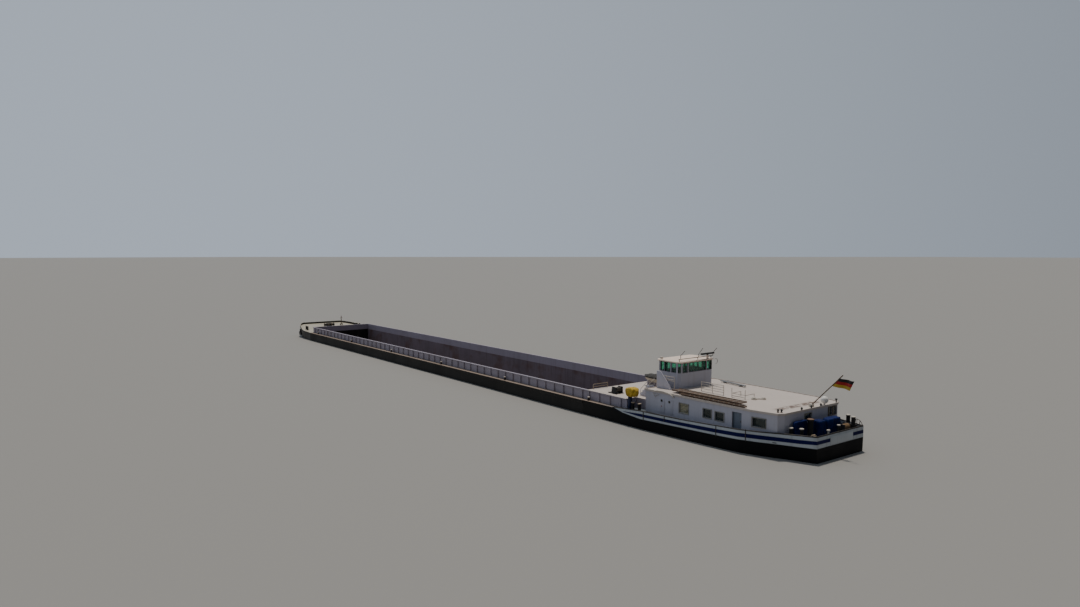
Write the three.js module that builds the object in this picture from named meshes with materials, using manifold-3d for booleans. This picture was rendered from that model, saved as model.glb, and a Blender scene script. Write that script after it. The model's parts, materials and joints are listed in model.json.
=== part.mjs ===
// River barge: a self-propelled cargo barge for inland waterways, as a 1:10 scale model.
// Millimetres, +X towards the bow, +Y to port, +Z up, the flat bottom on z = 0.
// Stations are distances forward of the transom; 100 mm here is 1 m on the ship.
import * as THREE from 'three';
import { mergeVertices } from 'three/addons/utils/BufferGeometryUtils.js';
import Module from 'manifold-3d';

const wasm = await Module();
wasm.setup();

// Driving dimensions
const LENGTH = 10500;
const FLAG_OVERHANG = 62;
const AFT = -(LENGTH - FLAG_OVERHANG) / 2;
const HALF_BEAM = 565;
const STRAKE = 5;
const DECK = 345;
const COAMING_TOP = 435;
const ROOF_TOP = 540;
const ROOF_PLATE = 10;
const WALL = 10;
const GAP = 0.3;
const CLEAR = 600;

// Stations of the main divisions
const HOUSE_AFT = 246;
const HOUSE_FORE = 1585;
const RAISED_FORE = 2290;
const HOLD_FORE = 9550;
const HOLD_HALF = 490;
const HOLD_FLOOR = 50;
const COAMING_HALF = 500;

const atStation = (s) => AFT + s;

// Paints
const paint = (color, roughness, metalness) => new THREE.MeshStandardMaterial({ color, roughness, metalness });
const BLACK = paint(0x0b0c0d, 0.5, 0.1);
const GREY = paint(0x5a5f63, 0.6, 0.1);
const WHITE = paint(0xd9d4cc, 0.45, 0.05);
const CREAM = paint(0xcfc6b0, 0.5, 0.05);
const STEEL = paint(0x77797b, 0.5, 0.6);
const BRONZE = paint(0x9a7a3c, 0.35, 0.9);
const WOOD = paint(0x8a5a35, 0.7, 0.0);
const BLUE_CLOTH = paint(0x0e2a6a, 0.8, 0.0);
const YELLOW_CLOTH = paint(0xb58a12, 0.8, 0.0);
const GLASS = paint(0x6f9f8a, 0.1, 0.0);
const ENGINE_GREEN = paint(0x4c6a55, 0.5, 0.2);
const FLAG_CLOTH = paint(0xb01825, 0.8, 0.0);
const DARK = paint(0x1d1f22, 0.6, 0.2);

const group = new THREE.Group();

// From three.js geometry to a solid and back
function solid(geometry) {
  const bare = geometry.clone();
  bare.deleteAttribute('normal');
  bare.deleteAttribute('uv');
  const merged = mergeVertices(bare, 1e-4);
  return new wasm.Manifold(new wasm.Mesh({
    numProp: 3,
    vertProperties: new Float32Array(merged.attributes.position.array),
    triVerts: Uint32Array.from(merged.index.array),
  }));
}

function addNode(name, body, material) {
  const mesh = body.getMesh();
  const geometry = new THREE.BufferGeometry();
  geometry.setAttribute('position', new THREE.BufferAttribute(mesh.vertProperties, 3));
  geometry.setIndex(new THREE.BufferAttribute(mesh.triVerts, 1));
  geometry.computeVertexNormals();
  const node = new THREE.Mesh(geometry, material);
  node.name = name;
  group.add(node);
}

const join = (...bodies) => bodies.flat().reduce((whole, body) => whole.add(body));

// Basic shapes, each from station s, half breadth y and height z
function block(s0, s1, y0, y1, z0, z1) {
  const geometry = new THREE.BoxGeometry(s1 - s0, Math.abs(y1 - y0), z1 - z0);
  geometry.translate(atStation((s0 + s1) / 2), (y0 + y1) / 2, (z0 + z1) / 2);
  return solid(geometry);
}

function rod(from, to, radius, sides = 12) {
  const a = new THREE.Vector3(atStation(from[0]), from[1], from[2]);
  const b = new THREE.Vector3(atStation(to[0]), to[1], to[2]);
  const along = b.clone().sub(a);
  const geometry = new THREE.CylinderGeometry(radius, radius, along.length(), sides);
  geometry.applyQuaternion(new THREE.Quaternion().setFromUnitVectors(
    new THREE.Vector3(0, 1, 0), along.clone().normalize()));
  geometry.translate((a.x + b.x) / 2, (a.y + b.y) / 2, (a.z + b.z) / 2);
  return solid(geometry);
}

const post = (s, y, z0, z1, radius, sides = 16) => rod([s, y, z0], [s, y, z1], radius, sides);

function ball(s, y, z, radius, sides = 16) {
  const geometry = new THREE.SphereGeometry(radius, sides, sides / 2);
  geometry.translate(atStation(s), y, z);
  return solid(geometry);
}

// Bent pipe through a list of points
function pipe(points, radius, sides = 8) {
  const runs = points.slice(1).map((point, i) => rod(points[i], point, radius, sides));
  const bends = points.slice(1, -1).map(([s, y, z]) => ball(s, y, z, radius * 1.02, sides));
  return join(runs, bends);
}

function shapeOf(points) {
  return new THREE.Shape(points.map(([a, b]) => new THREE.Vector2(a, b)));
}

// Plan outline [s, y] raised from z0 to z1
function slab(outline, z0, z1) {
  const geometry = new THREE.ExtrudeGeometry(shapeOf(outline), { depth: z1 - z0, bevelEnabled: false });
  geometry.translate(AFT, 0, z0);
  return solid(geometry);
}

// Side outline [s, z] carried across from y0 to y1
function crossPiece(outline, y0, y1) {
  const geometry = new THREE.ExtrudeGeometry(shapeOf(outline), { depth: y1 - y0, bevelEnabled: false });
  geometry.rotateX(Math.PI / 2);
  geometry.translate(AFT, y1, 0);
  return solid(geometry);
}

// Cross-section outline [y, z] carried along from station s0 to s1
function longPiece(outline, s0, s1) {
  const geometry = new THREE.ExtrudeGeometry(shapeOf(outline), { depth: s1 - s0, bevelEnabled: false });
  geometry.applyMatrix4(new THREE.Matrix4().makeBasis(
    new THREE.Vector3(0, 1, 0), new THREE.Vector3(0, 0, 1), new THREE.Vector3(1, 0, 0)));
  geometry.translate(atStation(s0), 0, 0);
  return solid(geometry);
}

// Full outline from a port half [s, half], listed from aft to fore
function mirrored(half) {
  const starboard = half.map(([s, y]) => [s, -y]);
  return [...starboard, ...half.slice().reverse()];
}

// Convex outline moved inwards by a thickness
function inset(outline, thickness) {
  const count = outline.length;
  const edges = outline.map(([s, y], i) => {
    const [s2, y2] = outline[(i + 1) % count];
    const length = Math.hypot(s2 - s, y2 - y);
    const normal = [-(y2 - y) / length, (s2 - s) / length];
    return { normal, level: normal[0] * s + normal[1] * y + thickness };
  });
  return edges.map((edge, i) => {
    const before = edges[(i + count - 1) % count];
    const det = before.normal[0] * edge.normal[1] - before.normal[1] * edge.normal[0];
    return [
      (before.level * edge.normal[1] - edge.level * before.normal[1]) / det,
      (before.normal[0] * edge.level - edge.normal[0] * before.level) / det,
    ];
  });
}

// Closed skin over rings of equal length, each ring counter-clockwise seen from the bow
function loft(rings) {
  const count = rings[0].points.length;
  const positions = rings.flatMap(({ s, points }) => points.flatMap(([y, z]) => [atStation(s), y, z]));
  const index = [];
  for (let ring = 0; ring < rings.length - 1; ring += 1) {
    for (let i = 0; i < count; i += 1) {
      const a = ring * count + i;
      const b = ring * count + ((i + 1) % count);
      index.push(a, b, a + count, b, b + count, a + count);
    }
  }
  const last = (rings.length - 1) * count;
  for (let i = 1; i < count - 1; i += 1) {
    index.push(0, i + 1, i);
    index.push(last, last + i, last + i + 1);
  }
  const geometry = new THREE.BufferGeometry();
  geometry.setAttribute('position', new THREE.Float32BufferAttribute(positions, 3));
  geometry.setIndex(index);
  return solid(geometry);
}

// Hull sections: station, half breadth at the deck edge, half breadth at the bilge, bottom, deck edge
const SECTIONS = [
  { s: 0, deckHalf: 304, bilgeHalf: 296, bottom: 130, deck: DECK },
  { s: 110, deckHalf: 346, bilgeHalf: 334, bottom: 112, deck: DECK },
  { s: 240, deckHalf: 396, bilgeHalf: 378, bottom: 92, deck: DECK },
  { s: 380, deckHalf: 456, bilgeHalf: 440, bottom: 70, deck: DECK },
  { s: 540, deckHalf: 502, bilgeHalf: 490, bottom: 45, deck: DECK },
  { s: 880, deckHalf: 531, bilgeHalf: 524, bottom: 12, deck: DECK },
  { s: 1200, deckHalf: 549, bilgeHalf: 547, bottom: 0, deck: DECK },
  { s: 1560, deckHalf: HALF_BEAM, bilgeHalf: HALF_BEAM, bottom: 0, deck: DECK },
  { s: RAISED_FORE, deckHalf: HALF_BEAM, bilgeHalf: HALF_BEAM, bottom: 0, deck: DECK },
  { s: HOLD_FORE, deckHalf: HALF_BEAM, bilgeHalf: HALF_BEAM, bottom: 0, deck: DECK },
  { s: 9850, deckHalf: 560, bilgeHalf: 545, bottom: 8, deck: 352 },
  { s: 10080, deckHalf: 535, bilgeHalf: 490, bottom: 42, deck: 366 },
  { s: 10260, deckHalf: 490, bilgeHalf: 410, bottom: 92, deck: 380 },
  { s: 10400, deckHalf: 430, bilgeHalf: 320, bottom: 150, deck: 393 },
  { s: LENGTH, deckHalf: 350, bilgeHalf: 240, bottom: 205, deck: 404 },
];
const BILGE_RADIUS = 40;
const BILGE_STEPS = 3;

function hullRing({ s, deckHalf, bilgeHalf, bottom, deck }) {
  const portBilge = [];
  for (let i = 0; i <= BILGE_STEPS; i += 1) {
    const turn = (i / BILGE_STEPS) * Math.PI / 2;
    portBilge.push([
      bilgeHalf - BILGE_RADIUS + BILGE_RADIUS * Math.sin(turn),
      bottom + BILGE_RADIUS - BILGE_RADIUS * Math.cos(turn),
    ]);
  }
  const starboardBilge = portBilge.map(([y, z]) => [-y, z]).reverse();
  return { s, points: [...starboardBilge, ...portBilge, [deckHalf, deck], [-deckHalf, deck]] };
}

const between = (from, to) => SECTIONS.filter(({ s }) => s >= from && s <= to);
const hullBlock = (from, to) => loft(between(from, to).map(hullRing));
const deckEdge = (from, to) => between(from, to).map(({ s, deckHalf }) => [s, deckHalf]);

// Propellers, their tunnels and the rudders, one set on each side
const SIDES = [{ side: 'port', sign: 1 }, { side: 'starboard', sign: -1 }];
const SHAFT_HALF = 200;
const SHAFT_HEIGHT = 90;
const TUNNEL_RADIUS = 86;
const TUNNEL_ROOF = SHAFT_HEIGHT + TUNNEL_RADIUS;
const TUNNEL_BREAK = 640;
const TUNNEL_END = 1500;
const COUNTER_END = 345;
const PROPELLER = { s: 420, radius: 74, hub: 15, blades: 4, thick: 5, pitch: 0.55 };
const STERN_TUBE = { radius: 14, length: 450, s: PROPELLER.s + 32 };
const RUDDER = { s: 215, foot: 24, top: TUNNEL_ROOF - 7, stock: 9 };

function tunnel(sign) {
  const y = sign * SHAFT_HALF;
  const level = rod([COUNTER_END - 5, y, SHAFT_HEIGHT], [TUNNEL_BREAK, y, SHAFT_HEIGHT], TUNNEL_RADIUS, 32);
  const fall = rod([TUNNEL_BREAK, y, SHAFT_HEIGHT], [TUNNEL_END, y, -TUNNEL_RADIUS], TUNNEL_RADIUS, 32);
  return join(level, fall, ball(TUNNEL_BREAK, y, SHAFT_HEIGHT, TUNNEL_RADIUS, 32));
}

function sternTube(sign) {
  const y = sign * SHAFT_HALF;
  const end = TUNNEL_BREAK + STERN_TUBE.length;
  const tube = rod([STERN_TUBE.s, y, SHAFT_HEIGHT], [end, y, SHAFT_HEIGHT], STERN_TUBE.radius, 16);
  const strut = block(STERN_TUBE.s + 13, STERN_TUBE.s + 43, y - 4, y + 4, SHAFT_HEIGHT, TUNNEL_ROOF + 6);
  return join(tube, strut);
}

// Stern: solid hull with the counter, tunnels and an open engine room under the house
const ENGINE_ROOM = { s0: 980, s1: 1440, half: 330, floor: 112 };
const sternBlock = hullBlock(0, RAISED_FORE);
const counter = block(-10, COUNTER_END, -CLEAR, CLEAR, -10, TUNNEL_ROOF);
const engineWell = block(ENGINE_ROOM.s0, ENGINE_ROOM.s1, -ENGINE_ROOM.half, ENGINE_ROOM.half,
  ENGINE_ROOM.floor, DECK + 10);
const sternCut = sternBlock.subtract(counter).subtract(tunnel(1)).subtract(tunnel(-1)).subtract(engineWell);
addNode('hull_stern', join(sternCut, sternTube(1), sternTube(-1)), BLACK);

// Midship body: double bottom and side tanks around the hold, open at the top
function midshipSection() {
  const { points } = hullRing(SECTIONS.find(({ s }) => s === HOLD_FORE));
  const skin = points.slice(0, -2);
  return [
    ...skin,
    [HALF_BEAM, DECK], [HOLD_HALF, DECK], [HOLD_HALF, HOLD_FLOOR],
    [-HOLD_HALF, HOLD_FLOOR], [-HOLD_HALF, DECK], [-HALF_BEAM, DECK],
  ];
}
const STRAKE_LOW = 318;
const strakes = SIDES.map(({ sign }) => block(RAISED_FORE, HOLD_FORE,
  sign * (HALF_BEAM - STRAKE), sign * (HALF_BEAM + STRAKE), STRAKE_LOW, DECK));
addNode('hull_mid', join(longPiece(midshipSection(), RAISED_FORE, HOLD_FORE), strakes), GREY);

// Bollard pair: posts with caps, [s, y] each, on one base plate
function bollardPair(places, foot, { radius, height, cap }) {
  const posts = places.flatMap(([s, y]) => [
    post(s, y, foot, foot + height, radius),
    post(s, y, foot + height, foot + height + 6, cap),
  ]);
  const stations = places.map(([s]) => s);
  const halves = places.map(([, y]) => y);
  const plate = block(Math.min(...stations) - radius, Math.max(...stations) + radius,
    Math.min(...halves) - radius, Math.max(...halves) + radius, foot, foot + 4);
  return join(plate, posts);
}

// Bow: solid hull with the hatch coaming, the mast step and the bollards on its deck
const HATCH = { s0: 9720, s1: 9790, half: 35, top: 382, plate: 5 };
const MAST = { s: 10235, y: -270, foot: 395, height: 150, radius: 6, pin: 13, yard: 110 };
const bow = hullBlock(HOLD_FORE, LENGTH);
const hatchRing = block(HATCH.s0, HATCH.s1, -HATCH.half, HATCH.half, DECK - 5, HATCH.top)
  .subtract(block(HATCH.s0 + HATCH.plate, HATCH.s1 - HATCH.plate,
    HATCH.plate - HATCH.half, HATCH.half - HATCH.plate, DECK - 30, HATCH.top + 10));
const mastStep = [-1, 1].map((end) => block(MAST.s - 12, MAST.s + 12,
  MAST.y + end * 18 - 5, MAST.y + end * 18 + 5, DECK, MAST.foot + 8));
const FORE_POSTS = [[9900, 480], [9990, 470]];
const DECK_POST = { radius: 14, height: 62, cap: 17 };
const foreBollards = SIDES.map(({ sign }) => bollardPair(
  FORE_POSTS.map(([s, y]) => [s, sign * y]), 358, DECK_POST));
addNode('hull_bow', join(bow, hatchRing, mastStep, foreBollards), BLACK);

// Coaming round the hold: a plate with a flange at its top and upright ribs outside
const FLANGE = { width: 24, depth: 8 };
const FLANGE_LOW = COAMING_TOP - FLANGE.depth;
const RIB = { pitch: 145, first: 70, thick: 4, out: 12, foot: DECK + 1 };
function ribs(from, to, sign) {
  const count = Math.floor((to - from - RIB.first) / RIB.pitch) + 1;
  return Array.from({ length: count }, (_, i) => {
    const s = from + RIB.first + i * RIB.pitch;
    return block(s, s + RIB.thick, sign * (COAMING_HALF - 2), sign * (COAMING_HALF + RIB.out),
      RIB.foot, FLANGE_LOW + 2);
  });
}
for (const { side, sign } of SIDES) {
  const outline = [
    [HOLD_HALF, DECK], [COAMING_HALF, DECK], [COAMING_HALF, FLANGE_LOW],
    [HOLD_HALF + FLANGE.width, FLANGE_LOW], [HOLD_HALF + FLANGE.width, COAMING_TOP],
    [HOLD_HALF, COAMING_TOP],
  ].map(([y, z]) => [sign * y, z]);
  const ordered = sign > 0 ? outline : outline.reverse();
  const plate = longPiece(ordered, RAISED_FORE, HOLD_FORE);
  addNode(`coaming_${side}`, join(plate, ribs(RAISED_FORE, HOLD_FORE, sign)), GREY);
}
const COAMING_PLATE = COAMING_HALF - HOLD_HALF;
const coamingFore = join(
  block(HOLD_FORE, HOLD_FORE + COAMING_PLATE, -COAMING_HALF, COAMING_HALF, DECK, COAMING_TOP),
  block(HOLD_FORE, HOLD_FORE + FLANGE.width, -COAMING_HALF, COAMING_HALF, FLANGE_LOW, COAMING_TOP));
addNode('coaming_fore', coamingFore.subtract(bow), GREY);

// Ship's boat on two chocks forward of the wheelhouse
const BOAT = { y: -120, gunwale: 532, half: 68, cover: 24, chine: 0.62 };
const BOAT_RINGS = [
  { s: 1830, half: 52, keel: 486 },
  { s: 1890, half: 66, keel: 478 },
  { s: 2010, half: BOAT.half, keel: 474 },
  { s: 2090, half: 54, keel: 480 },
  { s: 2135, half: 28, keel: 494 },
  { s: 2158, half: 7, keel: 512 },
];
const boatHull = loft(BOAT_RINGS.map(({ s, half, keel }) => ({
  s,
  points: [
    [BOAT.y - half * BOAT.chine, keel + 10], [BOAT.y, keel], [BOAT.y + half * BOAT.chine, keel + 10],
    [BOAT.y + half, BOAT.gunwale], [BOAT.y - half, BOAT.gunwale],
  ],
})));
addNode('boat_hull', boatHull, CREAM);
addNode('boat_cover', loft(BOAT_RINGS.map(({ s, half }) => {
  const crown = BOAT.gunwale + 4 + BOAT.cover * half / BOAT.half;
  return {
    s,
    points: [
      [BOAT.y - half, BOAT.gunwale + GAP], [BOAT.y + half, BOAT.gunwale + GAP],
      [BOAT.y + half / 3, crown], [BOAT.y - half / 3, crown],
    ],
  };
})), DARK);
const CHOCK = { length: 14, half: 58, height: 62 };
const boatClear = boatHull.translate([0, 0, -GAP]);
const chocks = [1880, 2060].map((s) => block(s, s + CHOCK.length, BOAT.y - CHOCK.half, BOAT.y + CHOCK.half,
  COAMING_TOP, COAMING_TOP + CHOCK.height).subtract(boatClear));

// Raised deck between the house and the hold, notched on each side for the bollards
const NOTCH_FORE = 1755;
const NOTCH_HALF = 390;
const raisedPlan = (half) => mirrored([
  [HOUSE_FORE, NOTCH_HALF], [NOTCH_FORE, NOTCH_HALF], [NOTCH_FORE, half], [RAISED_FORE, half],
]);
const raisedBody = slab(raisedPlan(COAMING_HALF), DECK, FLANGE_LOW + 2);
const raisedTop = slab(raisedPlan(HOLD_HALF + FLANGE.width), FLANGE_LOW, COAMING_TOP);
const raisedRibs = SIDES.flatMap(({ sign }) => ribs(NOTCH_FORE, RAISED_FORE, sign));
addNode('raised_deck', join(raisedBody, raisedRibs, raisedTop, chocks), WHITE);

// Guard rail where the raised deck meets the hold
const GUARD = { s: 2278, y0: 262, y1: 444, top: COAMING_TOP + 46, bar: COAMING_TOP + 23, radius: 3 };
const guardHoop = pipe([
  [GUARD.s, GUARD.y0, COAMING_TOP], [GUARD.s, GUARD.y0, GUARD.top - 8], [GUARD.s, GUARD.y0 + 8, GUARD.top],
  [GUARD.s, GUARD.y1 - 8, GUARD.top], [GUARD.s, GUARD.y1, GUARD.top - 8], [GUARD.s, GUARD.y1, COAMING_TOP],
], GUARD.radius);
const guardBar = rod([GUARD.s, GUARD.y0, GUARD.bar], [GUARD.s, GUARD.y1, GUARD.bar], GUARD.radius - 0.5, 8);
addNode('hold_guard', join(guardHoop, guardBar), WOOD);

// Bulwark round the stern, falling to the deck edge forward
const BULWARK_PLATE = 8;
const BULWARK_END = 1880;
const BULWARK_SHEER = [
  [-10, DECK], [BULWARK_END, DECK], [1861, 350], [1525, 372], [1088, 376], [700, 388], [376, 398],
  [120, 408], [-10, 411],
];
function edgeWall(outline, sheer) {
  const ring = slab(outline, DECK, 480).subtract(slab(inset(outline, BULWARK_PLATE), DECK - 10, 490));
  return ring.intersect(crossPiece(sheer, -CLEAR, CLEAR));
}
const sternOutline = mirrored(deckEdge(0, RAISED_FORE));
const openFore = block(BULWARK_END, RAISED_FORE + 10, -CLEAR, CLEAR, 0, 500);
addNode('stern_bulwark', edgeWall(sternOutline, BULWARK_SHEER).subtract(openFore), WHITE);

// Bulwark round the bow, standing on the rising deck edge
const BOW_WALL_END = 9950;
const bowOutline = mirrored(deckEdge(HOLD_FORE, LENGTH));
function deckAt(s) {
  const after = SECTIONS.findIndex((section) => section.s >= s);
  const [a, b] = [SECTIONS[after - 1], SECTIONS[after]];
  return a.deck + (b.deck - a.deck) * (s - a.s) / (b.s - a.s);
}
const bowStations = [BOW_WALL_END, ...between(BOW_WALL_END, LENGTH).map(({ s }) => s)];
const bowFoot = bowStations.map((s) => [s, deckAt(s) + GAP]);
const bowSheer = [...bowFoot, [LENGTH, 434], [10080, 398], [BOW_WALL_END + 60, 370]];
addNode('bow_bulwark', edgeWall(bowOutline, bowSheer), BLACK);
const bowClear = bow.translate([0, 0, GAP]);

// Deckhouse: one ring of walls with its windows and door openings
const HOUSE_HALF = [[HOUSE_AFT, 340], [272, 390], [490, 430], [800, 436], [HOUSE_FORE, 440]];
const houseOutline = mirrored(HOUSE_HALF);
const WALL_TOP = ROOF_TOP - ROOF_PLATE;
// Openings in the side walls: first station, last station, lower edge, upper edge
const HOUSE_WINDOWS = [
  { s0: 363, s1: 470, z0: 422, z1: 487 },
  { s0: 732, s1: 815, z0: 407, z1: 472 },
  { s0: 856, s1: 937, z0: 409, z1: 476 },
  { s0: 1096, s1: 1193, z0: 403, z1: 479 },
];
const DOOR_OPENING = { s0: 564, s1: 654, z0: 365, z1: 503 };
// Openings in the aft wall: one side, other side, lower edge, upper edge
const AFT_WINDOWS = [
  { y0: -324, y1: -280, z0: 458, z1: 520 },
  { y0: -266, y1: -222, z0: 458, z1: 520 },
  { y0: 5, y1: 92, z0: 464, z1: 508 },
];
const wallOutside = slab(houseOutline, DECK, WALL_TOP);
const wallInside = slab(inset(houseOutline, WALL), DECK - 10, WALL_TOP + 10);
const sideOpenings = [...HOUSE_WINDOWS, DOOR_OPENING].map(({ s0, s1, z0, z1 }) => block(
  s0, s1, -500, 500, z0, z1));
const aftOpenings = AFT_WINDOWS.map(({ y0, y1, z0, z1 }) => block(
  HOUSE_AFT - 20, HOUSE_AFT + 16, y0, y1, z0, z1));
addNode('house_walls', wallOutside.subtract(wallInside).subtract(join(sideOpenings, aftOpenings)), WHITE);

// Roof plate with a low lip along its edge, open where the wheelhouse crosses it
const ROOF_OVERHANG = 8;
const LIP = { width: 4, height: 6 };
const roofOutline = inset(houseOutline, -ROOF_OVERHANG);
const lipRing = slab(roofOutline, WALL_TOP, ROOF_TOP + LIP.height)
  .subtract(slab(inset(roofOutline, LIP.width), ROOF_TOP, ROOF_TOP + 20))
  .subtract(block(HOUSE_FORE - 20, HOUSE_FORE + 20, -240, 240, ROOF_TOP, ROOF_TOP + 20));
addNode('house_roof', lipRing, WHITE);

// Sliding doors behind the side walls
const SIDE_DOOR = { face: 417, plate: 6, lap: 6 };
for (const { side, sign } of SIDES) {
  const { s0, s1, z1 } = DOOR_OPENING;
  addNode(`house_door_${side}`, block(s0 - SIDE_DOOR.lap, s1 + SIDE_DOOR.lap, sign * SIDE_DOOR.face,
    sign * (SIDE_DOOR.face - SIDE_DOOR.plate), DECK + GAP, z1 + 10), WHITE);
}

// Main engines, plain blocks on the engine-room floor
const ENGINE = { s0: 1030, s1: 1300, half: 55, height: 150 };
for (const { side, sign } of SIDES) {
  const y = sign * SHAFT_HALF;
  addNode(`engine_${side}`, block(ENGINE.s0, ENGINE.s1, y - ENGINE.half, y + ENGINE.half,
    ENGINE_ROOM.floor, ENGINE_ROOM.floor + ENGINE.height), ENGINE_GREEN);
}

// Wheelhouse: a block under its fore part, a ring of walls with a window band, glazing and a roof
const WHEELHOUSE = { aft: 1398, fore: 1660, half: 220, foot: ROOF_TOP, sill: 680, head: 758, top: 765 };
const ROOF_EAVES = 15;
const CORNER = 22;
const wheelhouseOutline = mirrored([
  [WHEELHOUSE.aft, WHEELHOUSE.half - CORNER], [WHEELHOUSE.aft + CORNER, WHEELHOUSE.half],
  [WHEELHOUSE.fore - CORNER, WHEELHOUSE.half], [WHEELHOUSE.fore, WHEELHOUSE.half - CORNER],
]);
addNode('wheelhouse_base', block(HOUSE_FORE + ROOF_OVERHANG + 1, WHEELHOUSE.fore, -WHEELHOUSE.half + CORNER,
  WHEELHOUSE.half - CORNER, COAMING_TOP, ROOF_TOP), WHITE);
// Window openings along the sides and across the ends: from, to
const PORT_PANES = [[1440, 1491], [1510, 1570], [1582, 1622]];
const STARBOARD_PANES = [[1526, 1570], [1582, 1622]];
const END_PANES = [[-192, -134], [-118, 101], [119, 177]];
const WHEELHOUSE_DOOR = { s0: 1432, s1: 1512, z0: 556, z1: 752 };
// One narrow pane in each cut-off corner, cut through along the corner's own direction
const CORNER_PANE = { margin: 4, depth: 16 };
function cornerPane(end, sign) {
  const wallEnd = end > 0 ? WHEELHOUSE.fore : WHEELHOUSE.aft;
  const { margin, depth } = CORNER_PANE;
  const place = (along, out) => [
    wallEnd - end * (along - out), sign * (WHEELHOUSE.half - CORNER + along + out),
  ];
  const outline = [
    place(margin, depth), place(CORNER - margin, depth),
    place(CORNER - margin, -depth), place(margin, -depth),
  ];
  return slab(outline, WHEELHOUSE.sill, WHEELHOUSE.head);
}
const outerWall = slab(wheelhouseOutline, WHEELHOUSE.foot, WHEELHOUSE.top);
const innerSpace = slab(inset(wheelhouseOutline, WALL), WHEELHOUSE.foot - 10, WHEELHOUSE.top + 10);
const sidePane = ([a, b], sign) => block(a, b, sign * 100, sign * 300, WHEELHOUSE.sill, WHEELHOUSE.head);
const portPanes = PORT_PANES.map((span) => sidePane(span, 1));
const starboardPanes = STARBOARD_PANES.map((span) => sidePane(span, -1));
const endPanes = END_PANES.map(([a, b]) => block(1300, 1800, a, b, WHEELHOUSE.sill, WHEELHOUSE.head));
const cornerPanes = [-1, 1].flatMap((end) => [-1, 1].map((sign) => cornerPane(end, sign)));
const doorway = block(WHEELHOUSE_DOOR.s0, WHEELHOUSE_DOOR.s1, -300, -100,
  WHEELHOUSE_DOOR.z0, WHEELHOUSE_DOOR.z1);
const wallRing = outerWall.subtract(innerSpace);
addNode('wheelhouse_walls', [...portPanes, ...starboardPanes, ...endPanes, ...cornerPanes, doorway]
  .reduce((walls, opening) => walls.subtract(opening), wallRing), WHITE);

// Glazing band just inside the walls, cut away at the doorway
const GLASS_PLATE = 3;
const glassOutside = inset(wheelhouseOutline, WALL + GAP);
const glassInside = inset(wheelhouseOutline, WALL + GAP + GLASS_PLATE);
const glassBand = slab(glassOutside, WHEELHOUSE.sill - 6, WHEELHOUSE.top - 1)
  .subtract(slab(glassInside, WHEELHOUSE.sill - 20, WHEELHOUSE.top + 10));
const glassDoorCut = block(WHEELHOUSE_DOOR.s0 - 6, WHEELHOUSE_DOOR.s1 + 6, -300, -100, 500, 800);
addNode('wheelhouse_glazing', glassBand.subtract(glassDoorCut), GLASS);

// Wheelhouse door, hung on the fore side of its doorway, with a window in its upper half
const LEAF = {
  s0: WHEELHOUSE_DOOR.s0 + 5, s1: WHEELHOUSE_DOOR.s1 - 2, y0: -WHEELHOUSE.half, y1: -WHEELHOUSE.half + 8,
};
const leaf = block(LEAF.s0, LEAF.s1, LEAF.y0, LEAF.y1, WHEELHOUSE_DOOR.z0 + 5, WHEELHOUSE_DOOR.z1 - 5);
const leafPane = block(LEAF.s0 + 12, LEAF.s1 - 12, -300, -100, WHEELHOUSE.sill, WHEELHOUSE.head - 18);
const DOOR_HINGE = { s: LEAF.s1 + 1.5, y: LEAF.y0 - 3.8, radius: 3.5, length: 24 };
const hinges = [600, 700].flatMap((z) => [
  post(DOOR_HINGE.s, DOOR_HINGE.y, z, z + DOOR_HINGE.length, DOOR_HINGE.radius, 12),
  block(LEAF.s1 - 14, DOOR_HINGE.s, LEAF.y0 - 5, LEAF.y0, z + 2, z + DOOR_HINGE.length - 2),
]);
addNode('wheelhouse_door', join(leaf.subtract(leafPane), hinges), WHITE);

// Steering console and helmsman's chair
addNode('wheelhouse_console', crossPiece(
  [[1560, ROOF_TOP], [1640, ROOF_TOP], [1640, 640], [1600, 652], [1560, 628]], -130, 130), GREY);
const CHAIR = { s: 1500, half: 26, seat: 600 };
addNode('helm_chair', join(
  post(CHAIR.s, 0, ROOF_TOP, CHAIR.seat + 6, 9, 12),
  block(CHAIR.s - 28, CHAIR.s + 28, -CHAIR.half, CHAIR.half, CHAIR.seat, CHAIR.seat + 14),
  block(CHAIR.s - 32, CHAIR.s - 20, -CHAIR.half, CHAIR.half, CHAIR.seat + 6, CHAIR.seat + 80)), DARK);

// Stair from the raised deck up to the wheelhouse, with its side screen on the roof
const STAIR = { foot: 1800, head: 1680, port: 300, starboard: 238, steps: 4 };
const stairRun = (STAIR.foot - STAIR.head) / STAIR.steps;
const stairRise = (ROOF_TOP - COAMING_TOP) / STAIR.steps;
const stairSteps = Array.from({ length: STAIR.steps }, (_, i) => block(
  STAIR.head, STAIR.foot - i * stairRun, STAIR.starboard, STAIR.port,
  COAMING_TOP + i * stairRise, COAMING_TOP + (i + 1) * stairRise));
addNode('wheelhouse_stair', join(stairSteps), WHITE);
addNode('stair_screen', crossPiece(
  [[1400, ROOF_TOP], [1584, ROOF_TOP], [1584, 690], [1540, 690]], 300, 308), WHITE);

// Radar on the after edge of the wheelhouse roof: a fixed pedestal and a turning scanner
const RADAR = { s: 1396, y: -138, base: WHEELHOUSE.top + 12, height: 34, radius: 11, length: 168 };
const radarHead = RADAR.base + RADAR.height;
addNode('wheelhouse_roof', join(
  slab(inset(wheelhouseOutline, -ROOF_EAVES), WHEELHOUSE.top, RADAR.base),
  post(RADAR.s, RADAR.y, RADAR.base - 1, radarHead, RADAR.radius)), WHITE);
const scannerLow = radarHead + GAP;
addNode('radar_scanner', join(
  post(RADAR.s, RADAR.y, scannerLow, scannerLow + 8, 8),
  block(RADAR.s - 8, RADAR.s + 8, RADAR.y - RADAR.length / 2, RADAR.y + RADAR.length / 2,
    scannerLow + 6, scannerLow + 20)), WHITE);

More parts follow.
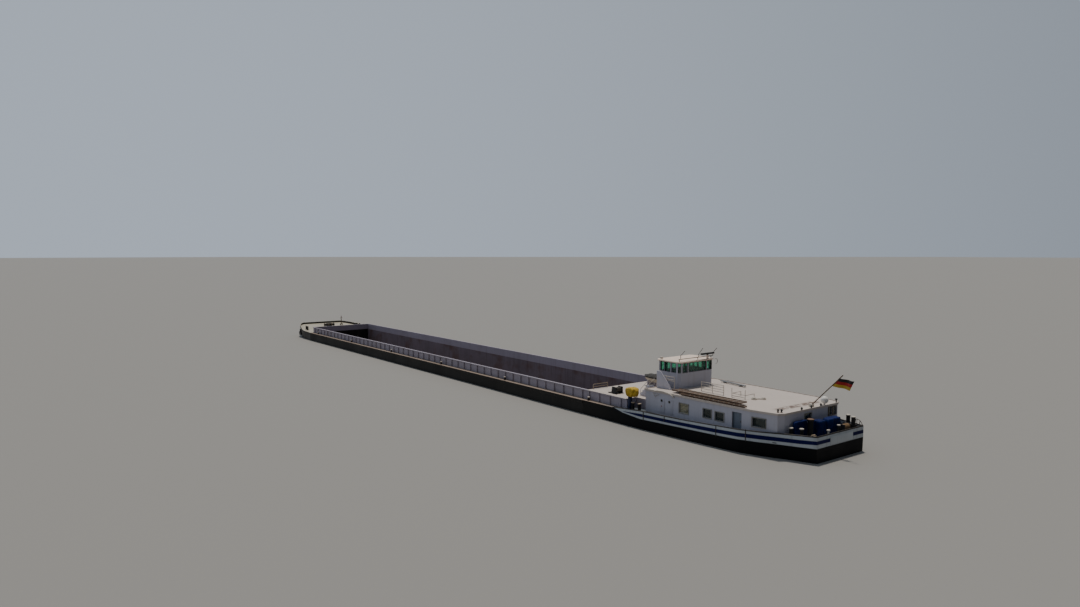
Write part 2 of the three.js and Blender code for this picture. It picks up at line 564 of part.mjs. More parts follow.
// Aerial rail along the after edge of the wheelhouse roof, with raked whip aerials
const AERIAL_RAIL = { s: 1414, z: 797, y0: -234, y1: 215, radius: 3 };
const AERIAL_RAKE = { s: -30, y: -22 };
const AERIALS = [
  { y: 190, knee: 832, top: 872 },
  { y: -42, knee: 826, top: 880 },
  { y: -231, knee: 826, top: 868 },
];
const railPosts = [-205, -30, 205].map((y) => post(
  AERIAL_RAIL.s, y, RADAR.base, AERIAL_RAIL.z, AERIAL_RAIL.radius, 8));
const railBar = rod(
  [AERIAL_RAIL.s, AERIAL_RAIL.y0, AERIAL_RAIL.z], [AERIAL_RAIL.s, AERIAL_RAIL.y1, AERIAL_RAIL.z],
  AERIAL_RAIL.radius, 8);
const whips = AERIALS.flatMap(({ y, knee, top }) => [
  post(AERIAL_RAIL.s, y, AERIAL_RAIL.z - 2, knee, 2.5, 8),
  rod([AERIAL_RAIL.s, y, knee - 2], [AERIAL_RAIL.s + AERIAL_RAKE.s, y + AERIAL_RAKE.y, top], 2, 8),
]);
addNode('aerial_rail', join(railPosts, railBar, whips), STEEL);

// Guard rail on the house roof aft of the wheelhouse
const ROOF_RAIL = { y: 125, stations: [991, 1111, 1231], heights: [22, 42, 62, 80], radius: 3 };
const [railAft, , railFore] = ROOF_RAIL.stations;
addNode('roof_rail', join(
  ROOF_RAIL.stations.map((s) => post(s, ROOF_RAIL.y, ROOF_TOP, ROOF_TOP + 82, ROOF_RAIL.radius, 8)),
  ROOF_RAIL.heights.map((height) => rod([railAft, ROOF_RAIL.y, ROOF_TOP + height],
    [railFore, ROOF_RAIL.y, ROOF_TOP + height], ROOF_RAIL.radius - 0.5, 8))), WHITE);

// Hatch guard, vents and pipes on the house roof
const HATCH_GUARD = { y: 135, stations: [764, 898], top: ROOF_TOP + 78 };
addNode('hatch_guard', join(
  HATCH_GUARD.stations.map((s) => post(s, HATCH_GUARD.y, ROOF_TOP, HATCH_GUARD.top, 2.5, 8)),
  [14, 34].map((height) => rod([HATCH_GUARD.stations[0], HATCH_GUARD.y, ROOF_TOP + height],
    [HATCH_GUARD.stations[1], HATCH_GUARD.y, ROOF_TOP + height], 2.5, 8)),
  HATCH_GUARD.stations.map((s) => rod([s, HATCH_GUARD.y, ROOF_TOP + 34], [s, 20, ROOF_TOP + 34], 2.5, 8)),
  HATCH_GUARD.stations.map((s) => post(s, 20, ROOF_TOP, ROOF_TOP + 36, 2.5, 8))), WHITE);
const VENTS = [{ s: 728, y: 70 }, { s: 684, y: 6 }];
const VENT = { radius: 22, height: 10, dome: 17 };
addNode('roof_vents', join(
  VENTS.flatMap(({ s, y }) => [
    post(s, y, ROOF_TOP, ROOF_TOP + VENT.height, VENT.radius, 20),
    post(s, y, ROOF_TOP + VENT.height - 1, ROOF_TOP + VENT.dome, VENT.radius - 7, 20),
  ]),
  rod([VENTS[0].s, VENTS[0].y, ROOF_TOP + 5], [VENTS[1].s, VENTS[1].y, ROOF_TOP + 5], 4.5, 8)), WHITE);
const ROOF_PIPES = [{ aft: [1100, -300], fore: [1420, -352] }, { aft: [1115, -318], fore: [1410, -368] }];
addNode('roof_pipes', join(
  ROOF_PIPES.map(({ aft, fore }) => rod([...aft, ROOF_TOP + 14], [...fore, ROOF_TOP + 14], 6, 10)),
  [[1160, -318], [1360, -352]].map(([s, y]) => block(
    s, s + 12, y - 22, y + 22, ROOF_TOP, ROOF_TOP + 12))), STEEL);

// Gangplanks stowed on bearers along the port side of the roof
const PLANKS = [
  { name: 'outer', s0: 540, s1: 1206, y0: 398, y1: 431, low: ROOF_TOP + 8 },
  { name: 'inner', s0: 625, s1: 1330, y0: 290, y1: 386, low: ROOF_TOP + 17 },
];
const PLANK = { thick: 6, curb: 5, rim: 3, bearer: 14, bearers: 3 };
for (const { name, s0, s1, y0, y1, low } of PLANKS) {
  const step = (s1 - s0) / PLANK.bearers;
  const bearers = Array.from({ length: PLANK.bearers }, (_, i) => {
    const s = s0 + (i + 0.5) * step;
    return block(s, s + PLANK.bearer, y0, y1, ROOF_TOP, low);
  });
  const board = block(s0, s1, y0, y1, low, low + PLANK.thick);
  const curbs = [y0, y1 - PLANK.rim].map((y) => block(
    s0, s1, y, y + PLANK.rim, low, low + PLANK.thick + PLANK.curb));
  addNode(`gangplank_${name}`, join(bearers, board, curbs), WOOD);
}

// Dome aerial at the after starboard corner of the roof
const DOME = { s: 262, y: -190, radius: 30, foot: 10 };
addNode('dome_aerial', join(
  post(DOME.s, DOME.y, ROOF_TOP, ROOF_TOP + 20, 6, 12),
  ball(DOME.s, DOME.y, ROOF_TOP + DOME.foot + DOME.radius, DOME.radius)), WHITE);

// Flagstaff raked aft from the roof edge, and its flag streaming aft
const STAFF = { y: -60, foot: [290, ROOF_TOP + 12], top: [34, 816], radius: 4 };
const staffRod = (radius) => rod(
  [STAFF.foot[0], STAFF.y, STAFF.foot[1]], [STAFF.top[0], STAFF.y, STAFF.top[1]], radius, 10);
const staffSocket = block(276, 306, STAFF.y - 12, STAFF.y + 12, ROOF_TOP, ROOF_TOP + 20);
addNode('flagstaff', join(staffSocket, staffRod(STAFF.radius)), WOOD);
// Flag corners [s, z]: two on the staff, two at the fly
const FLAG = [[56, 790], [-FLAG_OVERHANG, 785], [-30, 712], [112, 724]];
const FLAG_HALF = 3;
const flagPanel = crossPiece(FLAG.slice().reverse(), STAFF.y - FLAG_HALF, STAFF.y + FLAG_HALF);
addNode('flag', flagPanel.subtract(staffRod(STAFF.radius + GAP)), FLAG_CLOTH);

// Canvas covers over the gear on the after deck, with sloped shoulders
const COVERS = [
  { name: 'port', s0: 204, s1: 238, y0: 104, y1: 250, top: 480 },
  { name: 'middle', s0: 118, s1: 198, y0: -40, y1: 46, top: 472 },
  { name: 'starboard', s0: 108, s1: 176, y0: -222, y1: -58, top: 474 },
];
const SHOULDER = { drop: 16, side: 12, end: 8 };
for (const { name, s0, s1, y0, y1, top } of COVERS) {
  const ring = (s, drop) => ({
    s,
    points: [
      [y0, DECK], [y1, DECK], [y1, top - SHOULDER.drop - drop], [y1 - SHOULDER.side, top - drop],
      [y0 + SHOULDER.side, top - drop], [y0, top - SHOULDER.drop - drop],
    ],
  });
  addNode(`deck_cover_${name}`, loft([
    ring(s0, SHOULDER.drop), ring(s0 + SHOULDER.end, 0), ring(s1 - SHOULDER.end, 0), ring(s1, SHOULDER.drop),
  ]), BLUE_CLOTH);
}

// Capstan, mooring winch and bollards on the after deck
const CAPSTAN = { s: 168, y: 132, top: 488, drum: 21, head: 26 };
addNode('capstan', join(
  post(CAPSTAN.s, CAPSTAN.y, DECK, DECK + 12, CAPSTAN.head, 20),
  post(CAPSTAN.s, CAPSTAN.y, DECK + 11, CAPSTAN.top - 12, CAPSTAN.drum, 20),
  post(CAPSTAN.s, CAPSTAN.y, CAPSTAN.top - 13, CAPSTAN.top, CAPSTAN.head, 20)), DARK);
const AFT_WINCH = { s: 70, y0: -210, y1: -128, axis: 408, drum: 21 };
addNode('aft_winch', join(
  block(AFT_WINCH.s - 26, AFT_WINCH.s + 26, AFT_WINCH.y0, AFT_WINCH.y1, DECK, DECK + 12),
  [AFT_WINCH.y0, AFT_WINCH.y1 - 8].map((y) => block(
    AFT_WINCH.s - 20, AFT_WINCH.s + 20, y, y + 8, DECK + 11, 430)),
  rod([AFT_WINCH.s, AFT_WINCH.y0 + 4, AFT_WINCH.axis], [AFT_WINCH.s, AFT_WINCH.y1 - 4, AFT_WINCH.axis],
    AFT_WINCH.drum, 20)), DARK);
const NOTCH_POSTS = [[1610, 490], [1690, 490]];
for (const { side, sign } of SIDES) {
  addNode(`bollards_notch_${side}`,
    bollardPair(NOTCH_POSTS.map(([s, y]) => [s, sign * y]), DECK, DECK_POST), DARK);
}
addNode('bollards_aft_port',
  bollardPair([[216, 304], [150, 268]], DECK, { radius: 13, height: 89, cap: 16 }), DARK);
const MOORING_STEP = { top: 418, outline: [[30, -226], [30, -268], [142, -322], [142, -262]] };
const AFT_POST = { radius: 15, height: 54, cap: 16.5 };
const STARBOARD_POSTS = [[118, -288], [54, -252]];
addNode('bollards_aft_starboard', join(
  slab(MOORING_STEP.outline, DECK, MOORING_STEP.top),
  STARBOARD_POSTS.flatMap(([s, y]) => [
    post(s, y, MOORING_STEP.top - 1, MOORING_STEP.top + AFT_POST.height, AFT_POST.radius),
    post(s, y, MOORING_STEP.top + AFT_POST.height, MOORING_STEP.top + AFT_POST.height + 6, AFT_POST.cap),
  ])), DARK);

// Deck crane folded aft under its cover, on a post by the raised deck
const CRANE = { s: 1728, y: 490, radius: 19, head: 459, pin: 12 };
addNode('crane_post', post(CRANE.s, CRANE.y, DECK, CRANE.head - 4, CRANE.radius), BLUE_CLOTH);
// Cover sections: station, half width, lower edge, top
const CRANE_COVER = [
  { s: 1630, half: 22, low: 478, top: 520 },
  { s: 1655, half: 42, low: 464, top: 540 },
  { s: 1700, half: 50, low: CRANE.head, top: 546 },
  { s: 1745, half: 46, low: CRANE.head, top: 538 },
  { s: 1774, half: 24, low: 468, top: 512 },
];
const craneCover = loft(CRANE_COVER.map(({ s, half, low, top }) => ({
  s,
  points: [
    [CRANE.y - half * 0.6, low], [CRANE.y + half * 0.6, low], [CRANE.y + half, low + 18],
    [CRANE.y + half, top - 26], [CRANE.y + half * 0.5, top], [CRANE.y - half * 0.5, top],
    [CRANE.y - half, top - 26], [CRANE.y - half, low + 18],
  ],
})));
const cranePin = post(CRANE.s, CRANE.y, CRANE.head - 4 + GAP, CRANE.head + 4, CRANE.pin);
addNode('crane_head', join(craneCover, cranePin), YELLOW_CLOTH);

// Coupling winches on the raised deck
const WINCH = { s: 1990, y: 400, drum: 22, half: 37, cheek: 4, foot: 38, axis: COAMING_TOP + 34 };
for (const { side, sign } of SIDES) {
  const y = sign * WINCH.y;
  const drum = rod(
    [WINCH.s, y - WINCH.half, WINCH.axis], [WINCH.s, y + WINCH.half, WINCH.axis], WINCH.drum, 20);
  const cheeks = [-1, 1].map((end) => block(WINCH.s - 30, WINCH.s + 30, y + end * WINCH.half - WINCH.cheek,
    y + end * WINCH.half + WINCH.cheek, COAMING_TOP, COAMING_TOP + 62));
  const bed = block(WINCH.s - WINCH.foot, WINCH.s + WINCH.foot + 40, y - 46, y + 46,
    COAMING_TOP, COAMING_TOP + 6);
  const motor = post(WINCH.s + 56, y, COAMING_TOP + 5, COAMING_TOP + 36, 16);
  addNode(`coupling_winch_${side}`, join(drum, cheeks, bed, motor), DARK);
}

// Propellers turning about the shaft lines
const BLADE = [[0, 10], [-22, 26], [-27, 46], [-17, 66], [0, PROPELLER.radius], [17, 66], [27, 46], [22, 26]];
function propellerBlade(sign) {
  const geometry = new THREE.ExtrudeGeometry(shapeOf(BLADE), { depth: PROPELLER.thick, bevelEnabled: false });
  geometry.translate(0, 0, -PROPELLER.thick / 2);
  geometry.rotateY(Math.PI / 2 - sign * PROPELLER.pitch);
  return geometry;
}
for (const { side, sign } of SIDES) {
  const y = sign * SHAFT_HALF;
  const hub = rod(
    [PROPELLER.s - 22, y, SHAFT_HEIGHT], [STERN_TUBE.s - GAP, y, SHAFT_HEIGHT], PROPELLER.hub, 20);
  const blades = Array.from({ length: PROPELLER.blades }, (_, i) => {
    const geometry = propellerBlade(sign);
    geometry.rotateX((i / PROPELLER.blades) * 2 * Math.PI);
    geometry.translate(atStation(PROPELLER.s), y, SHAFT_HEIGHT);
    return solid(geometry);
  });
  addNode(`propeller_${side}`, join(hub, blades), BRONZE);
}

// Rudders, each a thick plate on its stock just under the counter
const FOIL = [[42, 0], [34, 8], [4, 11], [-92, 3], [-92, -3], [4, -11], [34, -8]];
for (const { side, sign } of SIDES) {
  const y = sign * SHAFT_HALF;
  const foil = FOIL.map(([ds, dy]) => [RUDDER.s + ds, y + dy]);
  addNode(`rudder_${side}`, join(
    slab(foil.reverse(), RUDDER.foot, RUDDER.top),
    post(RUDDER.s, y, RUDDER.top - 2, TUNNEL_ROOF - GAP, RUDDER.stock)), BLACK);
}

// Foredeck gear: folding signal mast, hatch with its lid, windlass and anchors
const mastTop = MAST.foot + MAST.height;
addNode('bow_mast', join(
  post(MAST.s, MAST.y, MAST.foot, mastTop, MAST.radius, 12),
  rod([MAST.s, MAST.y - MAST.pin + GAP, MAST.foot], [MAST.s, MAST.y + MAST.pin - GAP, MAST.foot], 5),
  rod([MAST.s, MAST.y - 26, MAST.foot + MAST.yard],
    [MAST.s, MAST.y + 26, MAST.foot + MAST.yard], 3, 8)), WOOD);
const LID = { overhang: 3, plate: 6 };
addNode('fore_hatch_lid', block(HATCH.s0 - LID.overhang, HATCH.s1 + LID.overhang, -HATCH.half - LID.overhang,
  HATCH.half + LID.overhang, HATCH.top + GAP, HATCH.top + GAP + LID.plate), CREAM);

const WINDLASS = { s: 10130, half: 90, axis: 405, drum: 20, gypsy: 30 };
const windlass = join(
  block(WINDLASS.s - 45, WINDLASS.s + 45, -40, 40, 360, 430),
  rod([WINDLASS.s, -WINDLASS.half, WINDLASS.axis],
    [WINDLASS.s, WINDLASS.half, WINDLASS.axis], WINDLASS.drum, 20),
  [-1, 1].map((end) => rod([WINDLASS.s, end * (WINDLASS.half - 8), WINDLASS.axis],
    [WINDLASS.s, end * WINDLASS.half, WINDLASS.axis], WINDLASS.gypsy, 20)));
addNode('windlass', windlass.subtract(bowClear), GREY);

const ANCHOR = { s: 10180, top: 352, crown: 258, out: 522 };
for (const { side, sign } of SIDES) {
  const shank = block(ANCHOR.s - 9, ANCHOR.s + 9, sign * 480, sign * ANCHOR.out, ANCHOR.crown, ANCHOR.top);
  const flukes = block(ANCHOR.s - 42, ANCHOR.s + 42, sign * 470, sign * ANCHOR.out,
    ANCHOR.crown - 12, ANCHOR.crown + 14);
  const tips = [-1, 1].map((end) => block(ANCHOR.s + end * 36 - 6, ANCHOR.s + end * 36 + 6, sign * 480,
    sign * ANCHOR.out, ANCHOR.crown, ANCHOR.crown + 52));
  addNode(`anchor_${side}`, join(shank, flukes, tips).subtract(bow.translate([0, sign * GAP, 0])), DARK);
}

export default group;
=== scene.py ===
import json
from math import atan2, cos, pi, radians, sin

import bpy
from mathutils import Matrix, Vector

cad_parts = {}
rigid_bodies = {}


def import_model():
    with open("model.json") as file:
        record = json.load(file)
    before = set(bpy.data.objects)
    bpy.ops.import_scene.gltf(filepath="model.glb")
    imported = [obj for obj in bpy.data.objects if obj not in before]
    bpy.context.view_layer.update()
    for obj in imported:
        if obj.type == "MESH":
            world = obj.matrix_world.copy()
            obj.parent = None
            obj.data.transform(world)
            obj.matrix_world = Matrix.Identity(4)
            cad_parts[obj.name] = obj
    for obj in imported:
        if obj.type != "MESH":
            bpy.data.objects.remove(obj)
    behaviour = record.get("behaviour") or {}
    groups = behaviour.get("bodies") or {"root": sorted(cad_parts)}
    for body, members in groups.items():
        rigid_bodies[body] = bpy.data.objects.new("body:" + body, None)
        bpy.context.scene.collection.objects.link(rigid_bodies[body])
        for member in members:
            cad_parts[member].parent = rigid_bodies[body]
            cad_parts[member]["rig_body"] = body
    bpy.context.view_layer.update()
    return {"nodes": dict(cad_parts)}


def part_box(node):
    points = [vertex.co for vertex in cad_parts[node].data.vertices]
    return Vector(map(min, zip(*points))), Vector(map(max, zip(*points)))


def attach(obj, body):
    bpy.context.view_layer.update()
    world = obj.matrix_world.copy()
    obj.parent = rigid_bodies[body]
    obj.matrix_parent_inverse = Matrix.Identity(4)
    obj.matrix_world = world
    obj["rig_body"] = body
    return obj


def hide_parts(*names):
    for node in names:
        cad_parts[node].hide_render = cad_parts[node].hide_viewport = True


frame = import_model()

# Camera at the photograph's place: high up, off the port quarter of the stern.
# Its place is worked out from the lines of the hull and the width of the hull.
CAMERA_AT = Vector((-8.264, 5.034, 1.735))
CAMERA_YAW = radians(-36.67)
CAMERA_PITCH = radians(3.99)
FOCAL_PIXELS = 750.0
FRAME_WIDTH = 1080
SENSOR = 36.0
FARTHEST = 200.0
level_line = Vector((cos(CAMERA_YAW), sin(CAMERA_YAW), 0)) * cos(CAMERA_PITCH)
view_line = level_line - Vector((0, 0, sin(CAMERA_PITCH)))
camera_data = bpy.data.cameras.new("camera")
camera_data.sensor_width = SENSOR
camera_data.lens = SENSOR * FOCAL_PIXELS / FRAME_WIDTH
camera_data.clip_end = FARTHEST
camera = bpy.data.objects.new("camera", camera_data)
camera.location = CAMERA_AT
camera.rotation_euler = view_line.to_track_quat("-Z", "Y").to_euler()
bpy.context.scene.collection.objects.link(camera)
bpy.context.scene.camera = camera

# Stern of the hull: welded steel plate, black below, with a white band and a navy stripe
# that follow the sheer. The bulwark stands on the deck edge and carries the same paint.
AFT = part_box("hull_stern")[0][0]
# Lines of the paint: station forward of the transom and height, in millimetres
SHEER = {
    "rail": ((0, 405), (120, 402), (376, 393), (700, 384), (1088, 371), (1525, 367), (1861, 346)),
    "stripe_top": ((0, 380), (120, 375), (376, 373), (700, 362), (1088, 353), (1525, 347), (1744, 333),
                   (1861, 320)),
    "stripe_low": ((0, 353), (120, 346), (376, 342), (700, 332), (1088, 325), (1525, 322), (1744, 331),
                   (1861, 320)),
    "band_low": ((0, 324), (120, 322), (376, 320), (700, 313), (1088, 309), (1525, 302), (1744, 321),
                 (1861, 348)),
}
SHEER_SPAN = 2.29
LINE_BLUR = 0.0015


def node(tree, kind, sockets, **settings):
    made = tree.nodes.new("ShaderNode" + kind)
    for name, value in settings.items():
        setattr(made, name, value)
    for key, value in sockets.items():
        if isinstance(value, bpy.types.NodeSocket):
            tree.links.new(value, made.inputs[key])
        else:
            made.inputs[key].default_value = value
    return made


def calc(tree, operation, first, second=0.0, third=0.0, clamp=False):
    made = node(tree, "Math", {0: first, 1: second, 2: third}, operation=operation, use_clamp=clamp)
    return made.outputs[0]


def ramp(tree, value, low, high, start=0.0, end=1.0):
    return node(tree, "MapRange", {0: value, 1: low, 2: high, 3: start, 4: end}).outputs[0]


def blend(tree, factor, first, second):
    return node(tree, "Mix", {0: factor, 6: first, 7: second}, data_type="RGBA", clamp_factor=True).outputs[2]


def rgba(colour):
    return (*colour, 1.0)


def spot_on(tree):
    """The point on the object, and its three coordinates."""
    place = node(tree, "TexCoord", {}).outputs["Object"]
    return place, node(tree, "SeparateXYZ", {0: place}).outputs


def upward(tree):
    return node(tree, "SeparateXYZ", {0: node(tree, "NewGeometry", {}).outputs["Normal"]}).outputs[2]


def new_group(name, inputs, outputs):
    tree = bpy.data.node_groups.new(name, "ShaderNodeTree")
    for label, value in inputs.items():
        socket = tree.interface.new_socket(label, in_out="INPUT", socket_type="NodeSocketFloat")
        socket.default_value = value
    for label in outputs:
        tree.interface.new_socket(label, in_out="OUTPUT", socket_type="NodeSocketFloat")
    return tree, tree.nodes.new("NodeGroupInput"), tree.nodes.new("NodeGroupOutput")


def place_group(tree, group, values):
    made = tree.nodes.new("ShaderNodeGroup")
    made.node_tree = group
    for label, value in values.items():
        made.inputs[label].default_value = value
    return made


def stretched_noise(tree, coordinates, stretch, scale, detail):
    spread = node(tree, "Mapping", {0: coordinates, 3: stretch})
    return node(tree, "TexNoise", {0: spread.outputs[0], "Scale": scale, "Detail": detail}).outputs[0]


# Weather: broad patches, fine speckle and vertical runs, each from 0 to 1
weather, weather_in, weather_out = new_group("weather", {"Scale": 1.0}, ("Patch", "Speckle", "Run"))
weather_scaled = node(weather, "VectorMath", {0: spot_on(weather)[0]}, operation="SCALE")
weather.links.new(weather_in.outputs["Scale"], weather_scaled.inputs["Scale"])
WEATHER_NOISES = (
    ("Patch", (1.0, 1.0, 1.0), 3.2, 6.0, 0.38, 0.68),
    ("Speckle", (1.0, 1.0, 1.0), 95.0, 4.0, 0.35, 0.7),
    ("Run", (30.0, 30.0, 2.2), 1.0, 5.0, 0.52, 0.76),
)
for label, stretch, scale, detail, low, high in WEATHER_NOISES:
    value = stretched_noise(weather, weather_scaled.outputs[0], stretch, scale, detail)
    weather.links.new(ramp(weather, value, low, high), weather_out.inputs[label])

# Worn edges: bright where the surface turns sharply, broken up by noise
worn_edges, edges_in, edges_out = new_group("worn_edges", {"Radius": 0.004, "Amount": 0.6}, ("Mask",))
rounded = node(worn_edges, "Bevel", {}, samples=4)
worn_edges.links.new(edges_in.outputs["Radius"], rounded.inputs["Radius"])
flat_normal = node(worn_edges, "NewGeometry", {}).outputs["Normal"]
facing = node(worn_edges, "VectorMath", {0: rounded.outputs[0], 1: flat_normal}, operation="DOT_PRODUCT")
sharpness = ramp(worn_edges, facing.outputs["Value"], 0.985, 0.86)
chips = node(worn_edges, "TexNoise", {0: spot_on(worn_edges)[0], "Scale": 42.0, "Detail": 6.0}).outputs[0]
chipped = calc(worn_edges, "MULTIPLY", sharpness, ramp(worn_edges, chips, 0.42, 0.6))
worn = node(worn_edges, "Math", {0: chipped}, operation="MULTIPLY")
worn_edges.links.new(edges_in.outputs["Amount"], worn.inputs[1])
worn_edges.links.new(worn.outputs[0], edges_out.inputs["Mask"])

# Plate seams: shallow welds every so many metres along and up the plating
seams, seams_in, seams_out = new_group("plate_seams", {"Length": 0.62, "Height": 0.16}, ("Weld",))
weld_masks = []
for axis, label in ((0, "Length"), (2, "Height")):
    steps = node(seams, "Math", {0: spot_on(seams)[1][axis]}, operation="DIVIDE")
    seams.links.new(seams_in.outputs[label], steps.inputs[1])
    share = calc(seams, "FRACT", steps.outputs[0])
    off_centre = calc(seams, "ABSOLUTE", calc(seams, "SUBTRACT", share, 0.5))
    distance = node(seams, "Math", {0: off_centre}, operation="MULTIPLY")
    seams.links.new(seams_in.outputs[label], distance.inputs[1])
    weld_masks.append(ramp(seams, distance.outputs[0], 0.0, 0.004, 1.0, 0.0))
seams.links.new(calc(seams, "MAXIMUM", *weld_masks), seams_out.inputs["Weld"])

# Paint: how far patches dirty and dull it, how dull its chips are, and how far its specks stand out
PATCH_DIRT = 0.55
PATCH_ROUGHNESS = 0.18
CHIP_ROUGHNESS = 0.25
SPECKLE_RISE = 0.12


def painted(name, colour, dirt, wear, roughness, dirt_colour=(0.1, 0.085, 0.07), bare=(0.12, 0.06, 0.035),
            metallic=0.0, scale=1.0, welds=None, shine=0.5):
    """Paint over steel: colour is a plain colour, or a function that builds one in the material's tree.

    Welds gives how far the seams stand out, and the length and height of the plates between them.
    """
    made = bpy.data.materials.new(name)
    made.use_nodes = True
    tree = made.node_tree
    shader = tree.nodes["Principled BSDF"]
    air = place_group(tree, weather, {"Scale": scale})
    base = colour(tree) if callable(colour) else rgba(colour)
    patches = calc(tree, "MULTIPLY", air.outputs["Patch"], dirt * PATCH_DIRT)
    shade = blend(tree, patches, base, rgba(dirt_colour))
    shade = blend(tree, calc(tree, "MULTIPLY", air.outputs["Run"], dirt), shade, rgba(dirt_colour))
    edges = place_group(tree, worn_edges, {"Amount": wear})
    shade = blend(tree, edges.outputs["Mask"], shade, rgba(bare))
    tree.links.new(shade, shader.inputs["Base Color"])
    rough = calc(tree, "MULTIPLY_ADD", air.outputs["Patch"], PATCH_ROUGHNESS, roughness)
    rough = calc(tree, "MULTIPLY_ADD", edges.outputs["Mask"], CHIP_ROUGHNESS, rough, clamp=True)
    tree.links.new(rough, shader.inputs["Roughness"])
    shader.inputs["Metallic"].default_value = metallic
    shader.inputs["Specular IOR Level"].default_value = shine
    height = calc(tree, "MULTIPLY", air.outputs["Speckle"], SPECKLE_RISE)
    if welds:
        rise, plate_length, plate_height = welds
        joints = place_group(tree, seams, {"Length": plate_length, "Height": plate_height})
        height = calc(tree, "MULTIPLY_ADD", joints.outputs["Weld"], rise, height)
    bump = node(tree, "Bump", {"Strength": 0.35, "Distance": 0.004, "Height": height})
    tree.links.new(bump.outputs[0], shader.inputs["Normal"])
    return made


def above_line(tree, share, height, line):
    """1 above a line of the sheer, 0 below it."""
    curve = node(tree, "FloatCurve", {"Value": share})
    points = curve.mapping.curves[0].points
    first, *middle, last = SHEER[line]
    points[0].location = (first[0] / 1000 / SHEER_SPAN, first[1] / 1000)
    points[1].location = (1.0, last[1] / 1000)
    for at_station, level in (*middle, last):
        points.new(at_station / 1000 / SHEER_SPAN, level / 1000)
    for point in points:
        point.handle_type = "VECTOR"
    curve.mapping.update()
    gap = calc(tree, "SUBTRACT", height, curve.outputs[0])
    return ramp(tree, gap, -LINE_BLUR, LINE_BLUR)


BLACK_PAINT = (0.006, 0.0065, 0.008)
MIDSHIP_PAINT = (0.018, 0.0175, 0.016)
BAND_PAINT = (0.5, 0.54, 0.58)
STRIPE_PAINT = (0.004, 0.006, 0.075)
RAIL_PAINT = (0.03, 0.027, 0.026)
SIDE_DECK_PAINT = (0.11, 0.13, 0.155)
SIDE_DECK_TAN = (0.34, 0.27, 0.22)
FADE = {"from": 1.7, "to": 2.1}
FACES_UP = 0.7
DECK_HEIGHT = 0.34


def on_deck(tree, height):
    """1 where the plating faces up at the deck, 0 elsewhere."""
    return calc(tree, "MULTIPLY", calc(tree, "GREATER_THAN", upward(tree), FACES_UP),
                calc(tree, "GREATER_THAN", height, DECK_HEIGHT))


def stern_bands(tree):
    """Black, white band, navy stripe and rail colour, fading to the midship grey going forward."""
    along, _, height = spot_on(tree)[1]
    share = ramp(tree, along, AFT, AFT + SHEER_SPAN)
    fore = ramp(tree, along, AFT + FADE["from"], AFT + FADE["to"])
    hull = blend(tree, fore, rgba(BLACK_PAINT), rgba(MIDSHIP_PAINT))
    side = blend(tree, above_line(tree, share, height, "band_low"), hull, rgba(BAND_PAINT))
    low = above_line(tree, share, height, "stripe_low")
    top = above_line(tree, share, height, "stripe_top")
    side = blend(tree, calc(tree, "SUBTRACT", low, top, clamp=True), side, rgba(STRIPE_PAINT))
    side = blend(tree, above_line(tree, share, height, "rail"), side, rgba(RAIL_PAINT))
    deck_shade = blend(tree, fore, rgba(SIDE_DECK_PAINT), rgba(SIDE_DECK_TAN))
    return blend(tree, on_deck(tree, height), side, deck_shade)


stern_paint = painted("stern_paint", stern_bands, dirt=0.2, dirt_colour=(0.012, 0.011, 0.01), wear=0.3,
                      bare=(0.08, 0.05, 0.035), roughness=0.5, welds=(0.6, 0.6, 0.19), shine=0.1)


def coat(paint, *names):
    """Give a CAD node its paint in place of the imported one."""
    for name in names:
        slots = frame["nodes"][name].data.materials
        slots.clear()
        slots.append(paint)


coat(stern_paint, "hull_stern", "stern_bulwark")


def at(along, across, up):
    """A point from millimetres forward of the transom, to port and above the flat bottom."""
    return Vector((AFT + along / 1000, across / 1000, up / 1000))


def select_only(piece):
    bpy.ops.object.select_all(action="DESELECT")
    piece.select_set(True)
    bpy.context.view_layer.objects.active = piece


def apply_modifier(piece, kind, **settings):
    """Add one modifier, set it and apply it."""
    select_only(piece)
    made = piece.modifiers.new(kind.lower(), kind)
    for name, value in settings.items():
        setattr(made, name, value)
    bpy.ops.object.modifier_apply(modifier=made.name)


def settle(piece, name, paint, body="hull", angle=35, stands_for=()):
    """Name a finished piece, put its place in its mesh, paint it and fix it to its body."""
    select_only(piece)
    bpy.ops.object.transform_apply(location=True, rotation=True, scale=True)
    piece.name = name
    piece.data.name = name
    piece.data.materials.clear()
    piece.data.materials.append(paint)
    bpy.ops.object.shade_smooth_by_angle(angle=radians(angle))
    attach(piece, body)
    if stands_for:
        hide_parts(*stands_for)


def outward(piece):
    """Merge the doubles and turn every face outwards."""
    select_only(piece)
    bpy.ops.object.mode_set(mode="EDIT")
    bpy.ops.mesh.select_all(action="SELECT")
    bpy.ops.mesh.remove_doubles(threshold=0.00005)
    bpy.ops.mesh.normals_make_consistent(inside=False)
    bpy.ops.object.mode_set(mode="OBJECT")


BAR_ROUNDNESS = 3


def bent_bar(points, radius, corner=0.0, closed=False):
    """A round bar along a line: a vertex is extruded from point to point, then given its thickness."""
    bpy.ops.object.select_all(action="DESELECT")
    bpy.ops.mesh.primitive_plane_add(size=0.001, location=points[0])
    bar = bpy.context.object
    bpy.ops.object.mode_set(mode="EDIT")
    bpy.ops.mesh.select_all(action="SELECT")
    bpy.ops.mesh.merge(type="CENTER")
    for start, end in zip(points, points[1:]):
        bpy.ops.mesh.extrude_region_move(TRANSFORM_OT_translate={"value": end - start})
    bpy.ops.mesh.select_all(action="SELECT")
    if closed:
        bpy.ops.mesh.remove_doubles(threshold=0.0001)
    if corner:
        bpy.ops.mesh.bevel(offset=corner, segments=3, affect="VERTICES")
    bpy.ops.object.mode_set(mode="OBJECT")
    bpy.ops.object.convert(target="CURVE")
    bar.data.bevel_depth = radius
    bar.data.bevel_resolution = BAR_ROUNDNESS
    bar.data.use_fill_caps = True
    bpy.ops.object.convert(target="MESH")
    outward(bar)
    return bar


